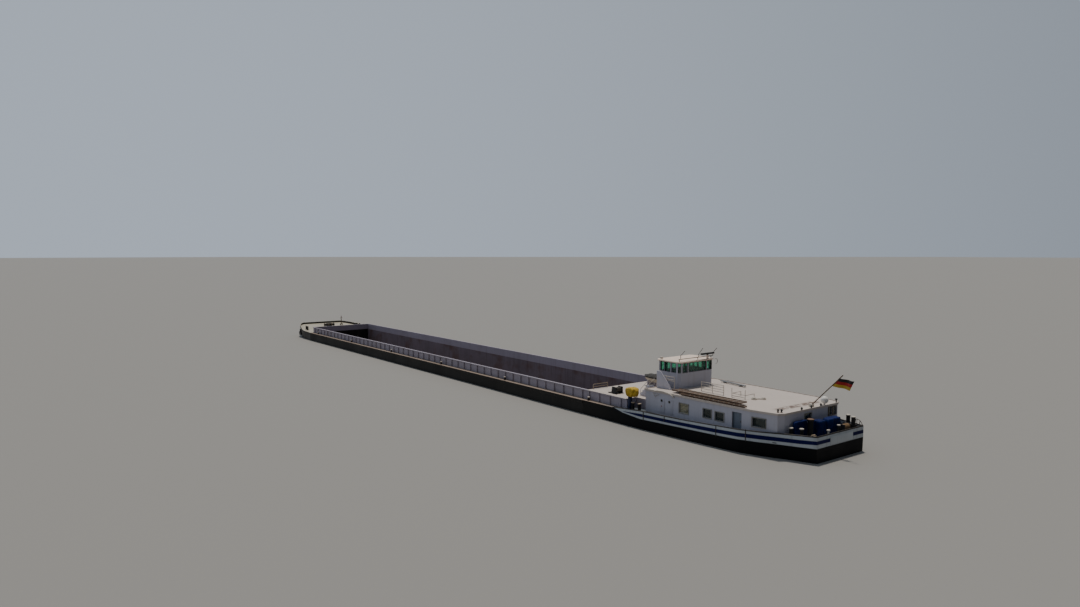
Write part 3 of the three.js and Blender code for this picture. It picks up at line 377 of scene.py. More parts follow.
def joined(pieces):
    """Several objects made into one."""
    select_only(pieces[0])
    for piece in pieces[1:]:
        piece.select_set(True)
    bpy.ops.object.join()
    return bpy.context.object


def slab(low, high, edge=0.0):
    """A plate or block between two corners with its edges bevelled."""
    corner = Vector([min(pair) for pair in zip(low, high)])
    size = Vector([abs(b - a) for a, b in zip(low, high)])
    bpy.ops.object.select_all(action="DESELECT")
    bpy.ops.mesh.primitive_cube_add(size=1.0, location=corner + size / 2, scale=size)
    block = bpy.context.object
    bpy.ops.object.transform_apply(location=True, rotation=True, scale=True)
    if edge:
        bpy.ops.object.mode_set(mode="EDIT")
        bpy.ops.mesh.select_all(action="SELECT")
        bpy.ops.mesh.bevel(offset=edge, segments=2, affect="EDGES")
        bpy.ops.object.mode_set(mode="OBJECT")
    return block


TURNS = {"Z": (0, 0, 0), "Y": (-pi / 2, 0, 0), "-Y": (pi / 2, 0, 0), "X": (0, pi / 2, 0)}


def turned(foot, profile, sides, axis="Z"):
    """A round piece: a disc at its foot, then one extrusion and one resize for each step (rise, radius)."""
    bpy.ops.object.select_all(action="DESELECT")
    first_rise, first_radius = profile[0]
    bpy.ops.mesh.primitive_circle_add(
        vertices=sides, radius=first_radius, fill_type="NGON", location=(0, 0, first_rise))
    piece = bpy.context.object
    bpy.ops.object.transform_apply(location=True, rotation=True, scale=True)
    bpy.ops.object.mode_set(mode="EDIT")
    bpy.ops.mesh.select_all(action="SELECT")
    for (rise_0, radius_0), (rise_1, radius_1) in zip(profile, profile[1:]):
        bpy.ops.mesh.extrude_region_move(TRANSFORM_OT_translate={"value": (0, 0, rise_1 - rise_0)})
        share = radius_1 / radius_0
        bpy.ops.transform.resize(value=(share, share, 1.0), center_override=(0, 0, rise_1))
    bpy.ops.mesh.select_all(action="SELECT")
    bpy.ops.mesh.normals_make_consistent(inside=False)
    bpy.ops.object.mode_set(mode="OBJECT")
    piece.rotation_euler = TURNS[axis]
    piece.location = foot
    bpy.ops.object.transform_apply(location=True, rotation=True, scale=True)
    return piece


def softened(source, name, paint, width=0.0, segments=2, *, angle=35):
    """A copy of a CAD node with its corners merged and its edges rounded, shown in the node's place."""
    original = frame["nodes"][source]
    body = original["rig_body"]
    piece = original.copy()
    piece.data = original.data.copy()
    for key in list(piece.keys()):
        del piece[key]
    piece.parent = None
    bpy.context.scene.collection.objects.link(piece)
    select_only(piece)
    bpy.ops.object.mode_set(mode="EDIT")
    bpy.ops.mesh.select_all(action="SELECT")
    bpy.ops.mesh.remove_doubles(threshold=0.00002)
    bpy.ops.mesh.dissolve_limited(angle_limit=radians(0.5))
    bpy.ops.object.mode_set(mode="OBJECT")
    if width:
        apply_modifier(piece, "BEVEL", width=width, segments=segments, limit_method="ANGLE",
                       angle_limit=radians(30))
    settle(piece, name, paint, body=body, angle=angle, stands_for=(source,))


# Rail along the top of the bulwark: a black half-round bar that chafes bright at its edge.
# Its line follows the deck edge in plan and the bulwark's own sheer.
DECK_HALF = ((0, 304), (110, 346), (240, 396), (380, 456), (540, 502), (880, 531), (1200, 549), (1560, 565),
             (2290, 565))
BULWARK_TOP = ((0, 411), (120, 408), (376, 398), (700, 388), (1088, 376), (1525, 372), (1861, 350))
RAIL_STATIONS = (1858, 1700, 1525, 1300, 1088, 880, 700, 540, 450, 380, 300, 240, 170, 110, 40, 4)
RAIL = {"inset": 4.5, "sunk": 1, "radius": 0.0048}


def along_table(table, place):
    """Straight-line reading of a table of (station, value)."""
    for (s0, v0), (s1, v1) in zip(table, table[1:]):
        if place <= s1:
            return v0 + (v1 - v0) * (place - s0) / (s1 - s0)
    return table[-1][1]


rail_black = painted("rail_black", (0.025, 0.023, 0.024), dirt=0.4, wear=0.9, bare=(0.2, 0.15, 0.11),
                     roughness=0.55, shine=0.3)
port_rail = [at(s, along_table(DECK_HALF, s) - RAIL["inset"], along_table(BULWARK_TOP, s) - RAIL["sunk"])
             for s in RAIL_STATIONS]
starboard_rail = [Vector((p.x, -p.y, p.z)) for p in reversed(port_rail)]
settle(bent_bar(port_rail + starboard_rail, RAIL["radius"]), "bulwark_rail", rail_black)

# Overboard pipes and scuppers on the ship's sides: steel pipes from the bulwark to below the
# stripe, welded to the plating, and the slot at each quarter that drains the after deck.
PIPE_RADIUS = 0.0032
# Each pipe: station, top and foot
PIPES = ((482, 402, 318), (737, 384, 308), (1254, 373, 334), (1488, 371, 296))
for index, (place, high, low) in enumerate(PIPES):
    pair = []
    for side in (1, -1):
        reach = along_table(DECK_HALF, place) + 1.5
        mouth = at(place, side * (reach - 8), low - 9)
        run = [at(place, side * reach, high), at(place, side * reach, low), mouth]
        pair.append(bent_bar(run, PIPE_RADIUS))
    settle(joined(pair), f"overboard_pipe_{index}", rail_black)
SCUPPER = {"from": 266, "to": 292, "level": 330, "radius": 0.0026}
slots = []
for side in (1, -1):
    ends = [at(SCUPPER[end], side * (along_table(DECK_HALF, SCUPPER[end]) - 0.4), SCUPPER["level"])
            for end in ("from", "to")]
    slots.append(bent_bar(ends, SCUPPER["radius"]))
settle(joined(slots), "scuppers", rail_black)

# Name board across the transom: a plain steel plate that stands proud of the bands, left blank.
# It is welded on over the stripe, which runs up to it from both sides.
BOARD = {"port": 137, "starboard": -157, "low": 330, "high": 391, "proud": 3, "edge": 0.0012}
board_paint = painted("board_paint", (0.53, 0.57, 0.61), dirt=0.2, dirt_colour=(0.22, 0.22, 0.21), wear=0.5,
                      roughness=0.5, scale=2.0, shine=0.3)
board = slab(at(-BOARD["proud"], BOARD["starboard"], BOARD["low"]), at(1, BOARD["port"], BOARD["high"]),
             BOARD["edge"])
settle(board, "name_board", board_paint)

# Midship body: welded plate, dusty grey outside, with a worn hold lined in bare steel.
# The coamings stand on the side decks, stiffened by upright ribs.
HOLD_SIDE = 0.4995
HOLD_PAINT = (0.21, 0.175, 0.2)
HOLD_RUST = (0.14, 0.065, 0.035)
COAMING_PAINT = (0.37, 0.34, 0.41)


def midship_colour(tree):
    """Grey sides, a paler side deck and a rust-brown hold."""
    place, (_, across, height) = spot_on(tree)
    inside = calc(tree, "LESS_THAN", calc(tree, "ABSOLUTE", across), HOLD_SIDE)
    shade = blend(tree, inside, rgba(MIDSHIP_PAINT), rgba(HOLD_PAINT))
    rust = node(tree, "TexNoise", {0: place, "Scale": 5.0, "Detail": 8.0}).outputs[0]
    rust = calc(tree, "MULTIPLY", ramp(tree, rust, 0.5, 0.72), calc(tree, "MULTIPLY", inside, 0.7))
    shade = blend(tree, rust, shade, rgba(HOLD_RUST))
    return blend(tree, on_deck(tree, height), shade, rgba(SIDE_DECK_TAN))


midship_paint = painted("midship_paint", midship_colour, dirt=0.35, dirt_colour=(0.05, 0.042, 0.036),
                        wear=0.6, bare=(0.3, 0.23, 0.17), roughness=0.55, welds=(0.8, 0.725, 0.17), shine=0.2)
coaming_paint = painted("coaming_paint", COAMING_PAINT, dirt=0.3, dirt_colour=(0.2, 0.16, 0.14), wear=0.7,
                        bare=(0.3, 0.2, 0.14), roughness=0.5, welds=(0.5, 1.45, 0.5), shine=0.3)
coat(midship_paint, "hull_mid")
coat(coaming_paint, "coaming_port", "coaming_starboard", "coaming_fore")

# Bollards on the side decks: short cast posts on a flange, one every 1.4 m along the hold.
# The body is worn black, the mushroom cap white so that it is seen at night.
DECK = 345
SIDE_POSTS = {"first": 2240, "pitch": 1400, "count": 6, "across": 532}
gear_black = painted("gear_black", (0.014, 0.014, 0.016), dirt=0.4, dirt_colour=(0.07, 0.055, 0.045),
                     wear=0.9, bare=(0.2, 0.13, 0.09), roughness=0.5, scale=3.0, shine=0.3)
cap_white = painted("cap_white", (0.7, 0.64, 0.56), dirt=0.4, wear=0.8, roughness=0.55, scale=4.0)
POST_SHAPE = ((0, 0.014), (0.003, 0.014), (0.004, 0.0095), (0.026, 0.0095), (0.028, 0.0115))
CAP_SHAPE = ((0, 0.0115), (0.001, 0.0125), (0.005, 0.0125), (0.0068, 0.0105), (0.0072, 0.004))
CAP_RISE = Vector((0, 0, 0.0279))
side_posts = []
side_caps = []
for index in range(SIDE_POSTS["count"]):
    for side in (1, -1):
        foot = at(SIDE_POSTS["first"] + SIDE_POSTS["pitch"] * index, side * SIDE_POSTS["across"], DECK)
        side_posts.append(turned(foot, POST_SHAPE, 16))
        side_caps.append(turned(foot + CAP_RISE, CAP_SHAPE, 16))
settle(joined(side_posts), "side_deck_posts", gear_black)
settle(joined(side_caps), "side_deck_caps", cap_white)

# Bow: welded black plating with a cream foredeck, and its bulwark on the rising deck edge.
# Colour changes at the deck, so one material paints both by height and slope.
FOREDECK_CREAM = (0.5, 0.46, 0.37)


def bow_colour(tree):
    """Cream on the deck, black elsewhere."""
    return blend(tree, on_deck(tree, spot_on(tree)[1][2]), rgba(BLACK_PAINT), rgba(FOREDECK_CREAM))


bow_paint = painted("bow_paint", bow_colour, dirt=0.35, wear=0.5, roughness=0.42, welds=(0.6, 0.5, 0.15),
                    shine=0.3)
coat(bow_paint, "hull_bow", "bow_bulwark")

# House: welded steel walls in white satin paint under a flat roof plate with a low lip.
# The roof is matt warm white, stained at its after end.
HOUSE_FINISH = {"dirt": 0.22, "dirt_colour": (0.26, 0.24, 0.23), "wear": 0.35, "bare": (0.3, 0.2, 0.14),
                "roughness": 0.42, "welds": (0.35, 0.9, 0.4), "shine": 0.35}
house_paint = painted("house_paint", (0.51, 0.503, 0.58), **HOUSE_FINISH)
STAIN_AFT = 0.37
ROOF_WHITE = (0.58, 0.515, 0.47)
ROOF_STAIN = (0.12, 0.07, 0.05)


def deck_colour(tree):
    """Warm white with a rust stain across the after end of the roof."""
    place, (along, across, _) = spot_on(tree)
    from_stain = calc(tree, "ABSOLUTE", calc(tree, "SUBTRACT", along, AFT + STAIN_AFT))
    near = ramp(tree, from_stain, 0.012, 0.05, 1.0, 0.0)
    near = calc(tree, "MULTIPLY", near, ramp(tree, calc(tree, "ABSOLUTE", across), 0.24, 0.29, 1.0, 0.0))
    flecks = node(tree, "TexNoise", {0: place, "Scale": 24.0, "Detail": 7.0}).outputs[0]
    stain = calc(tree, "MULTIPLY", near, ramp(tree, flecks, 0.4, 0.52))
    return blend(tree, stain, rgba(ROOF_WHITE), rgba(ROOF_STAIN))


deck_paint = painted("deck_paint", deck_colour, dirt=0.2, dirt_colour=(0.32, 0.28, 0.24), wear=0.4,
                     bare=(0.3, 0.22, 0.16), roughness=0.6, welds=(0.3, 0.8, 0.3), shine=0.3)
coat(house_paint, "house_walls", "wheelhouse_base")
coat(deck_paint, "house_roof")

# Sliding doors behind the side walls: flat blue-grey steel leaves that run on a rail inside.
# Each has a sunk finger pull pressed into its face.
DOOR_PULL = {"s": 578, "across": 417, "level": 432}
door_paint = painted("door_paint", (0.16, 0.195, 0.26), dirt=0.3, wear=0.6, roughness=0.45)
coat(door_paint, "house_door_port", "house_door_starboard")
PULL_SHAPE = ((-0.0004, 0.007), (0.0007, 0.007), (0.0009, 0.0062), (0.0004, 0.0052))
for side, name, axis in ((1, "port", "Y"), (-1, "starboard", "-Y")):
    pull = turned(at(DOOR_PULL["s"], side * DOOR_PULL["across"], DOOR_PULL["level"]), PULL_SHAPE, 18, axis)
    settle(pull, f"door_pull_{name}", gear_black, body=f"house_door_{name}")

# House windows: one pane each in a pressed metal frame, bolted over the opening from outside.
# The frames follow the slope of the wall, with rounded outer edges.
HOUSE_HALF = ((246, 340), (272, 390), (490, 430), (800, 436), (1585, 440))
# Each window: name, after and fore edge, sill and head
HOUSE_WINDOWS = (
    ("sleeping", 363, 470, 422, 487),
    ("mess_fore", 732, 815, 407, 472),
    ("mess_aft", 856, 937, 409, 476),
    ("cabin", 1096, 1193, 403, 479),
)
PANE = {"overlap": 2, "behind": 6, "edge": 0.0005}
frame_paint = painted("frame_paint", (0.3, 0.29, 0.27), dirt=0.3, wear=0.5, roughness=0.4, scale=3.0)
SALT = (0.35, 0.34, 0.3)
GLASS_ROUGHNESS = 0.04


def glass_material(name, colour, transmission):
    """Glass with a tint and a film of salt that runs down it."""
    made = bpy.data.materials.new(name)
    made.use_nodes = True
    tree = made.node_tree
    shader = tree.nodes["Principled BSDF"]
    air = place_group(tree, weather, {"Scale": 4.0})
    tint = blend(tree, calc(tree, "MULTIPLY", air.outputs["Run"], 0.25), rgba(colour), rgba(SALT))
    tree.links.new(tint, shader.inputs["Base Color"])
    rough = calc(tree, "MULTIPLY_ADD", air.outputs["Run"], 0.12, GLASS_ROUGHNESS)
    tree.links.new(rough, shader.inputs["Roughness"])
    shader.inputs["Transmission Weight"].default_value = transmission
    shader.inputs["IOR"].default_value = 1.45
    return made


dark_glass = glass_material("dark_glass", (0.08, 0.105, 0.1), transmission=0.6)
clear_glass = glass_material("clear_glass", (0.86, 0.88, 0.84), transmission=0.95)


def window_frame(centre, width, height, facing, border=0.007, depth=0.004):
    """Frame round an opening: a plate opened by an inset, given its depth, then bevelled."""
    bpy.ops.object.select_all(action="DESELECT")
    bpy.ops.mesh.primitive_plane_add(size=1.0, location=(0, 0, 0))
    ring = bpy.context.object
    ring.scale = (width + 2 * border, height + 2 * border, 1)
    bpy.ops.object.transform_apply(location=False, rotation=False, scale=True)
    bpy.ops.object.mode_set(mode="EDIT")
    bpy.ops.mesh.select_all(action="SELECT")
    bpy.ops.mesh.inset(thickness=border)
    bpy.ops.mesh.delete(type="FACE")
    bpy.ops.mesh.select_all(action="SELECT")
    bpy.ops.mesh.extrude_region_move(TRANSFORM_OT_translate={"value": (0, 0, depth)})
    bpy.ops.mesh.select_all(action="SELECT")
    bpy.ops.mesh.normals_make_consistent(inside=False)
    bpy.ops.mesh.bevel(offset=depth * 0.28, segments=2, affect="EDGES")
    bpy.ops.object.mode_set(mode="OBJECT")
    ring.rotation_euler = facing.to_track_quat("Z", "Y").to_euler()
    ring.location = centre
    bpy.ops.object.transform_apply(location=True, rotation=True, scale=True)
    return ring


frames = []
panes = {"clear": [], "dark": []}
for label, s0, s1, z0, z1 in HOUSE_WINDOWS:
    for side in (1, -1):
        mid_s = (s0 + s1) / 2
        half = along_table(HOUSE_HALF, mid_s)
        slope = along_table(HOUSE_HALF, mid_s + 20) - along_table(HOUSE_HALF, mid_s - 20)
        facing = Vector((-slope / 40, side, 0)).normalized()
        centre = at(mid_s, side * half, (z0 + z1) / 2)
        frames.append(window_frame(centre, (s1 - s0) / 1000, (z1 - z0) / 1000, facing))
        inner = side * (half - PANE["behind"])
        kind = "clear" if label == "cabin" else "dark"
        panes[kind].append(slab(at(s0 - PANE["overlap"], inner - 1, z0 - PANE["overlap"]),
                                at(s1 + PANE["overlap"], inner + 1, z1 + PANE["overlap"]), PANE["edge"]))
settle(joined(frames), "house_window_frames", frame_paint)
settle(joined(panes["dark"]), "house_window_panes", dark_glass)
settle(joined(panes["clear"]), "cabin_window_panes", clear_glass)

# Windows in the after wall: a pair of cabin windows in varnished wood at the starboard corner,
# and one wide galley window in a metal frame near the middle.
AFT_WALL = 246
# Each window: frame, starboard and port edge, sill and head
AFT_WINDOWS = (
    ("wood", -324, -280, 458, 520),
    ("wood", -266, -222, 458, 520),
    ("steel", 5, 92, 464, 508),
)
varnished = painted("varnished", (0.09, 0.05, 0.03), dirt=0.3, wear=0.4, bare=(0.3, 0.18, 0.1),
                    roughness=0.35)
aft_frames = {"wood": [], "steel": []}
aft_panes = []
for kind, y0, y1, z0, z1 in AFT_WINDOWS:
    centre = at(AFT_WALL, (y0 + y1) / 2, (z0 + z1) / 2)
    aft_frames[kind].append(
        window_frame(centre, (y1 - y0) / 1000, (z1 - z0) / 1000, Vector((-1, 0, 0)), 0.006))
    aft_panes.append(slab(at(AFT_WALL + 4, y0 - PANE["overlap"], z0 - PANE["overlap"]),
                          at(AFT_WALL + 6, y1 + PANE["overlap"], z1 + PANE["overlap"]), PANE["edge"]))
settle(joined(aft_frames["wood"]), "aft_window_frames_wood", varnished)
settle(joined(aft_frames["steel"]), "aft_window_frame_steel", frame_paint)
settle(joined(aft_panes), "aft_window_panes", dark_glass)

# Cabin curtains: cream cloth in even pleats, gathered on a wire behind the large window of each
# side. The cloth hangs free of the pane and ends below the frame.


def canvas(name, colour, crease=0.5, sheen=0.1, fade_and_highlight=1.9, shine=0.3):
    """Woven cloth: fine weave, creases, and paler crests that are partly faded, partly painted highlight."""
    made = bpy.data.materials.new(name)
    made.use_nodes = True
    tree = made.node_tree
    shader = tree.nodes["Principled BSDF"]
    place = spot_on(tree)[0]
    folds = node(tree, "TexNoise", {0: place, "Scale": 22.0, "Detail": 5.0, "Distortion": 1.2}).outputs[0]
    weave = node(tree, "TexWave", {0: place, "Scale": 600.0}).outputs[1]
    # Paler colour on the crests of the creases: partly faded cloth, partly a painted highlight
    faded_and_highlit = tuple(min(1.0, part * fade_and_highlight + 0.004) for part in colour)
    shade = blend(tree, ramp(tree, folds, 0.35, 0.7), rgba(colour), rgba(faded_and_highlit))
    tree.links.new(shade, shader.inputs["Base Color"])
    tree.links.new(calc(tree, "MULTIPLY_ADD", folds, 0.3, 0.55), shader.inputs["Roughness"])
    shader.inputs["Specular IOR Level"].default_value = shine
    height = calc(tree, "MULTIPLY_ADD", weave, 0.04, calc(tree, "MULTIPLY", folds, crease))
    bump = node(tree, "Bump", {"Strength": 0.6, "Distance": 0.01, "Height": height})
    tree.links.new(bump.outputs[0], shader.inputs["Normal"])
    shader.inputs["Sheen Weight"].default_value = sheen
    return made


def cloth(name, paint, cuts, place, body="hull", stands_for=(), thick=0.0009):
    """A sheet of cloth: a grid whose points are laid in place, then given the cloth's thickness."""
    bpy.ops.object.select_all(action="DESELECT")
    bpy.ops.mesh.primitive_grid_add(x_subdivisions=cuts[0], y_subdivisions=cuts[1], size=2.0)
    piece = bpy.context.object
    for vertex in piece.data.vertices:
        vertex.co = place(vertex.co.x, vertex.co.y)
    piece.data.update()
    apply_modifier(piece, "SOLIDIFY", thickness=thick, offset=-1.0)
    select_only(piece)
    bpy.ops.object.mode_set(mode="EDIT")
    bpy.ops.mesh.select_all(action="SELECT")
    bpy.ops.mesh.normals_make_consistent(inside=False)
    bpy.ops.object.mode_set(mode="OBJECT")
    settle(piece, name, paint, body=body, angle=75, stands_for=stands_for)


curtain_cloth = canvas("curtain_cloth", (0.62, 0.54, 0.34), crease=0.2, fade_and_highlight=1.25)
CURTAIN = {"s0": 1092, "s1": 1197, "low": 398, "high": 484, "pleat": 1.6, "pleats": 13}


def curtain_place(side):
    """Where each point of a curtain lies, in even pleats."""
    def place(a, b):
        along = CURTAIN["s0"] + (a + 1) / 2 * (CURTAIN["s1"] - CURTAIN["s0"])
        half = along_table(HOUSE_HALF, along) - 14
        pleat = CURTAIN["pleat"] * sin(a * CURTAIN["pleats"] * pi)
        up = CURTAIN["low"] + (b + 1) / 2 * (CURTAIN["high"] - CURTAIN["low"])
        return at(along, side * (half + pleat), up)
    return place


for side, name in ((1, "port"), (-1, "starboard")):
    cloth(f"cabin_curtain_{name}", curtain_cloth, (104, 3), curtain_place(side))

# Double door to the store at the fore end of each side wall: two raised steel leaves with a
# porthole each, closed by dogs. A weld seam runs down the wall forward of it.
STORE = {"low": 359, "high": 488, "proud": 1.8, "porthole": 469}
STORE_LEAVES = ((1263, 1353), (1357, 1432))
PORTHOLES = (1304, 1392)
# Each dog: station of its middle and height
DOGS = ((1346, 400), (1346, 450), (1364, 400), (1364, 450))
SEAM = {"s": 1472, "low": 352, "high": 526}
leaves = []
rings = []
lights = []
dogs = []
RING_SHAPE = ((0, 0.0112), (0.0022, 0.0112), (0.003, 0.0098), (0.003, 0.0076), (0.001, 0.007))
LIGHT_SHAPE = ((0, 0.0074), (0.0012, 0.0074), (0.0016, 0.004))
for side, axis in ((1, "Y"), (-1, "-Y")):
    for s0, s1 in STORE_LEAVES:
        half = along_table(HOUSE_HALF, (s0 + s1) / 2)
        leaves.append(slab(at(s0, side * (half - 1), STORE["low"]),
                           at(s1, side * (half + STORE["proud"]), STORE["high"]), 0.0012))
    for place in PORTHOLES:
        foot = at(place, side * (along_table(HOUSE_HALF, place) + 1.7), STORE["porthole"])
        rings.append(turned(foot, RING_SHAPE, 24, axis))
        lights.append(turned(foot, LIGHT_SHAPE, 20, axis))
    for place, level in DOGS:
        reach = side * (along_table(HOUSE_HALF, place) + 3.2)
        dogs.append(bent_bar([at(place - 5, reach, level), at(place + 5, reach, level + 3)], 0.0014))
    wall = side * along_table(HOUSE_HALF, SEAM["s"])
    dogs.append(bent_bar([at(SEAM["s"], wall, SEAM["low"]), at(SEAM["s"], wall, SEAM["high"])], 0.0009))
settle(joined(leaves), "store_door_leaves", house_paint)
settle(joined(rings), "porthole_rings", rail_black)
settle(joined(lights), "porthole_lights", dark_glass)
settle(joined(dogs), "store_door_dogs", house_paint)
fire_red = painted("fire_red", (0.3, 0.02, 0.015), dirt=0.2, wear=0.4, roughness=0.4)
BUTTON = ((0, 0.0048), (0.002, 0.0048), (0.003, 0.003))
button = turned(at(PORTHOLES[1], along_table(HOUSE_HALF, PORTHOLES[1]) + 1.5, 421), BUTTON, 16, "Y")
settle(button, "fire_button", fire_red)

# Boarding davit on the port edge of the roof: a white pipe bent over the door below it.
# A three-cornered bracket of thinner pipe, welded to the wall, holds it when it is swung out.
DAVIT = ((1473, 448, 538), (1443, 452, 548), (1367, 452, 551), (1287, 452, 542), (1252, 452, 522),
         (1250, 440, 514))
BRACKET = ((1491, 441, 519), (1425, 446, 516), (1472, 441, 491), (1491, 441, 519))
davit = bent_bar([at(*point) for point in DAVIT], 0.0046, corner=0.01)
bracket = bent_bar([at(*point) for point in BRACKET], 0.0026, closed=True)
settle(joined([davit, bracket]), "boarding_davit", cap_white, angle=60)

# Lamps along the after edge of the roof: small cast lanterns with a dome of thick glass, screwed
# to the roof plate. One at the starboard corner stands on a taller stem.
ROOF = 540
LAMPS = ((247, 130), (247, 7), (247, -118), (311, 332), (295, 311))
LAMP_BODY = ((0, 0.0085), (0.003, 0.0085), (0.004, 0.006), (0.011, 0.006), (0.013, 0.0088), (0.017, 0.0088))
LAMP_DOME = ((0.0168, 0.0078), (0.0215, 0.0072), (0.0248, 0.0045), (0.0258, 0.001))
TALL_LAMP = ((0, 0.007), (0.004, 0.004), (0.024, 0.004), (0.026, 0.009), (0.036, 0.009))
bodies = [turned(at(*place, ROOF), LAMP_BODY, 16) for place in LAMPS]
domes = [turned(at(*place, ROOF), LAMP_DOME, 16) for place in LAMPS]
bodies.append(turned(at(250, -332, ROOF), TALL_LAMP, 16))
settle(joined(bodies), "roof_lamps", gear_black)
settle(joined(domes), "roof_lamp_glasses", dark_glass)

# Wheelhouse: a steel box with a band of green-tinted windows under a rounded roof.
# Each pane sits in a black rubber gasket, also the narrow ones across the cut-off corners.
WHEELHOUSE = {"aft": 1398, "fore": 1660, "half": 220, "corner": 22, "sill": 680, "head": 758}
PORT_PANES = ((1440, 1491), (1510, 1570), (1582, 1622))
STARBOARD_PANES = ((1526, 1570), (1582, 1622))
END_PANES = ((-192, -134), (-118, 101), (119, 177))
WHEELHOUSE_MIDDLE = (AFT + (WHEELHOUSE["aft"] + WHEELHOUSE["fore"]) / 2000, 0.0, 0.7)
WHEELHOUSE_WHITE = (0.45, 0.46, 0.55)
# Colour of the faces that look inwards: painted shade that stands for the dim inside of the wheelhouse
INSIDE_PAINTED_SHADE = (0.03, 0.024, 0.02)


def wheelhouse_colour(tree):
    """White outside, and dark on the faces that look inwards: painted shade for the dim inside."""
    from_middle = node(tree, "VectorMath", {0: spot_on(tree)[0], 1: WHEELHOUSE_MIDDLE},
                       operation="SUBTRACT").outputs[0]
    normal = node(tree, "NewGeometry", {}).outputs["Normal"]
    flat = node(tree, "VectorMath", {0: normal, 1: (1.0, 1.0, 0.0)}, operation="MULTIPLY").outputs[0]
    outwards = node(tree, "VectorMath", {0: from_middle, 1: flat}, operation="DOT_PRODUCT").outputs["Value"]
    inside = calc(tree, "LESS_THAN", outwards, -0.02)
    return blend(tree, inside, rgba(WHEELHOUSE_WHITE), rgba(INSIDE_PAINTED_SHADE))


wheelhouse_paint = painted("wheelhouse_paint", wheelhouse_colour, **HOUSE_FINISH)
wheelhouse_glass = glass_material("wheelhouse_glass", (0.34, 0.84, 0.64), transmission=0.95)
rubber = painted("rubber", (0.016, 0.016, 0.015), dirt=0.3, dirt_colour=(0.06, 0.055, 0.05), wear=0.0,
                 roughness=0.7, scale=4.0, shine=0.3)
coat(house_paint, "wheelhouse_door")
coat(wheelhouse_paint, "wheelhouse_walls")
coat(wheelhouse_glass, "wheelhouse_glazing")
roof_cream = painted("roof_cream", (0.86, 0.71, 0.6), dirt=0.2, dirt_colour=(0.4, 0.34, 0.28), wear=0.4,
                     bare=(0.3, 0.22, 0.16), roughness=0.6, shine=0.3)
softened("wheelhouse_roof", "wheelhouse_roof_rounded", roof_cream, 0.006, 3)
pane_height = (WHEELHOUSE["head"] - WHEELHOUSE["sill"]) / 1000
pane_level = (WHEELHOUSE["head"] + WHEELHOUSE["sill"]) / 2
GASKET = {"border": 0.003, "depth": 0.0018}
gaskets = []
for side, spans in ((1, PORT_PANES), (-1, STARBOARD_PANES)):
    for s0, s1 in spans:
        centre = at((s0 + s1) / 2, side * WHEELHOUSE["half"], pane_level)
        gaskets.append(window_frame(centre, (s1 - s0) / 1000, pane_height, Vector((0, side, 0)), **GASKET))
for end, wall in ((-1, WHEELHOUSE["aft"]), (1, WHEELHOUSE["fore"])):
    for y0, y1 in END_PANES:
        centre = at(wall, (y0 + y1) / 2, pane_level)
        gaskets.append(window_frame(centre, (y1 - y0) / 1000, pane_height, Vector((end, 0, 0)), **GASKET))
    for side in (1, -1):
        middle = WHEELHOUSE["corner"] / 2
        centre = at(wall - end * middle, side * (WHEELHOUSE["half"] - middle), pane_level)
        slanted = Vector((end, side, 0)).normalized()
        gaskets.append(window_frame(centre, 0.0198, pane_height, slanted, **GASKET))
settle(joined(gaskets), "wheelhouse_gaskets", rubber)

# Wheelhouse door at the starboard side: a steel leaf with its own small pane in rubber, and a
# bent lever handle. All of them ride on the leaf.
door_pane = slab(at(1448, -217, 678), at(1499, -215, 742), PANE["edge"])
settle(door_pane, "wheelhouse_door_pane", wheelhouse_glass, body="wheelhouse_door")
door_gasket = window_frame(at(1473.5, -220, 710), 0.049, 0.06, Vector((0, -1, 0)), **GASKET)
lever = bent_bar([at(1443, -219, 642), at(1443, -226, 642), at(1457, -226, 641)], 0.0016, corner=0.002)
settle(joined([door_gasket, lever]), "wheelhouse_door_fittings", rubber, body="wheelhouse_door")

# Floor covering of the wheelhouse: dark rubber matting laid from wall to wall.
# It is cut from one sheet, and ends at the foot of the console.
matting = slab(at(WHEELHOUSE["aft"] + 30, -190, ROOF), at(1556, 190, ROOF + 1.2), 0.0004)
settle(matting, "wheelhouse_matting", rubber)

# Searchlight on the wheelhouse roof, and the bent mirror arm at its starboard edge: both are
# bought fittings in thin painted steel, bolted to the roof plate.
LIGHT_FOOT = ((0, 0.009), (0.002, 0.009), (0.003, 0.003), (0.006, 0.003))
LIGHT_CASE = ((0, 0.006), (0.004, 0.009), (0.021, 0.009), (0.025, 0.0102), (0.027, 0.0102))
searchlight = [turned(at(1625, 205, 776), LIGHT_FOOT, 14), turned(at(1612, 205, 790), LIGHT_CASE, 20, "X")]
settle(joined(searchlight), "searchlight", cap_white)
MIRROR_BEND = ((-232, 770), (-262, 765), (-268, 735), (-244, 722))
mirror_arm = bent_bar([at(1390, *bend) for bend in MIRROR_BEND], 0.0018, corner=0.006)
settle(mirror_arm, "mirror_arm", rail_black)

# Steering console: a painted steel desk with three blank screens, a row of switches and the
# wooden-rimmed wheel on a short shaft.
console_paint = painted("console_paint", (0.06, 0.065, 0.07), dirt=0.2, wear=0.5, bare=(0.2, 0.2, 0.2),
                        roughness=0.5)
coat(console_paint, "wheelhouse_console")
SCREENS = (-95, 0, 95)
SWITCHES = range(-110, 120, 20)
SWITCH_SHAPE = ((0, 0.003), (0.006, 0.0028), (0.008, 0.0015))
console_parts = []
for across in SCREENS:
    console_parts.append(slab(at(1598, across - 28, 650), at(1610, across + 28, 690), 0.0015))
for across in SWITCHES:
    console_parts.append(turned(at(1588, across, 647), SWITCH_SHAPE, 10))
settle(joined(console_parts), "console_screens", rubber)


def ring_bar(centre, radius, across, up, thickness, count=20):
    """A closed round bar in the plane of two directions."""
    points = []
    for index in range(count + 1):
        turn = 2 * pi * (index % count) / count
        points.append(centre + (across * cos(turn) + up * sin(turn)) * radius)
    return bent_bar(points, thickness, closed=True)


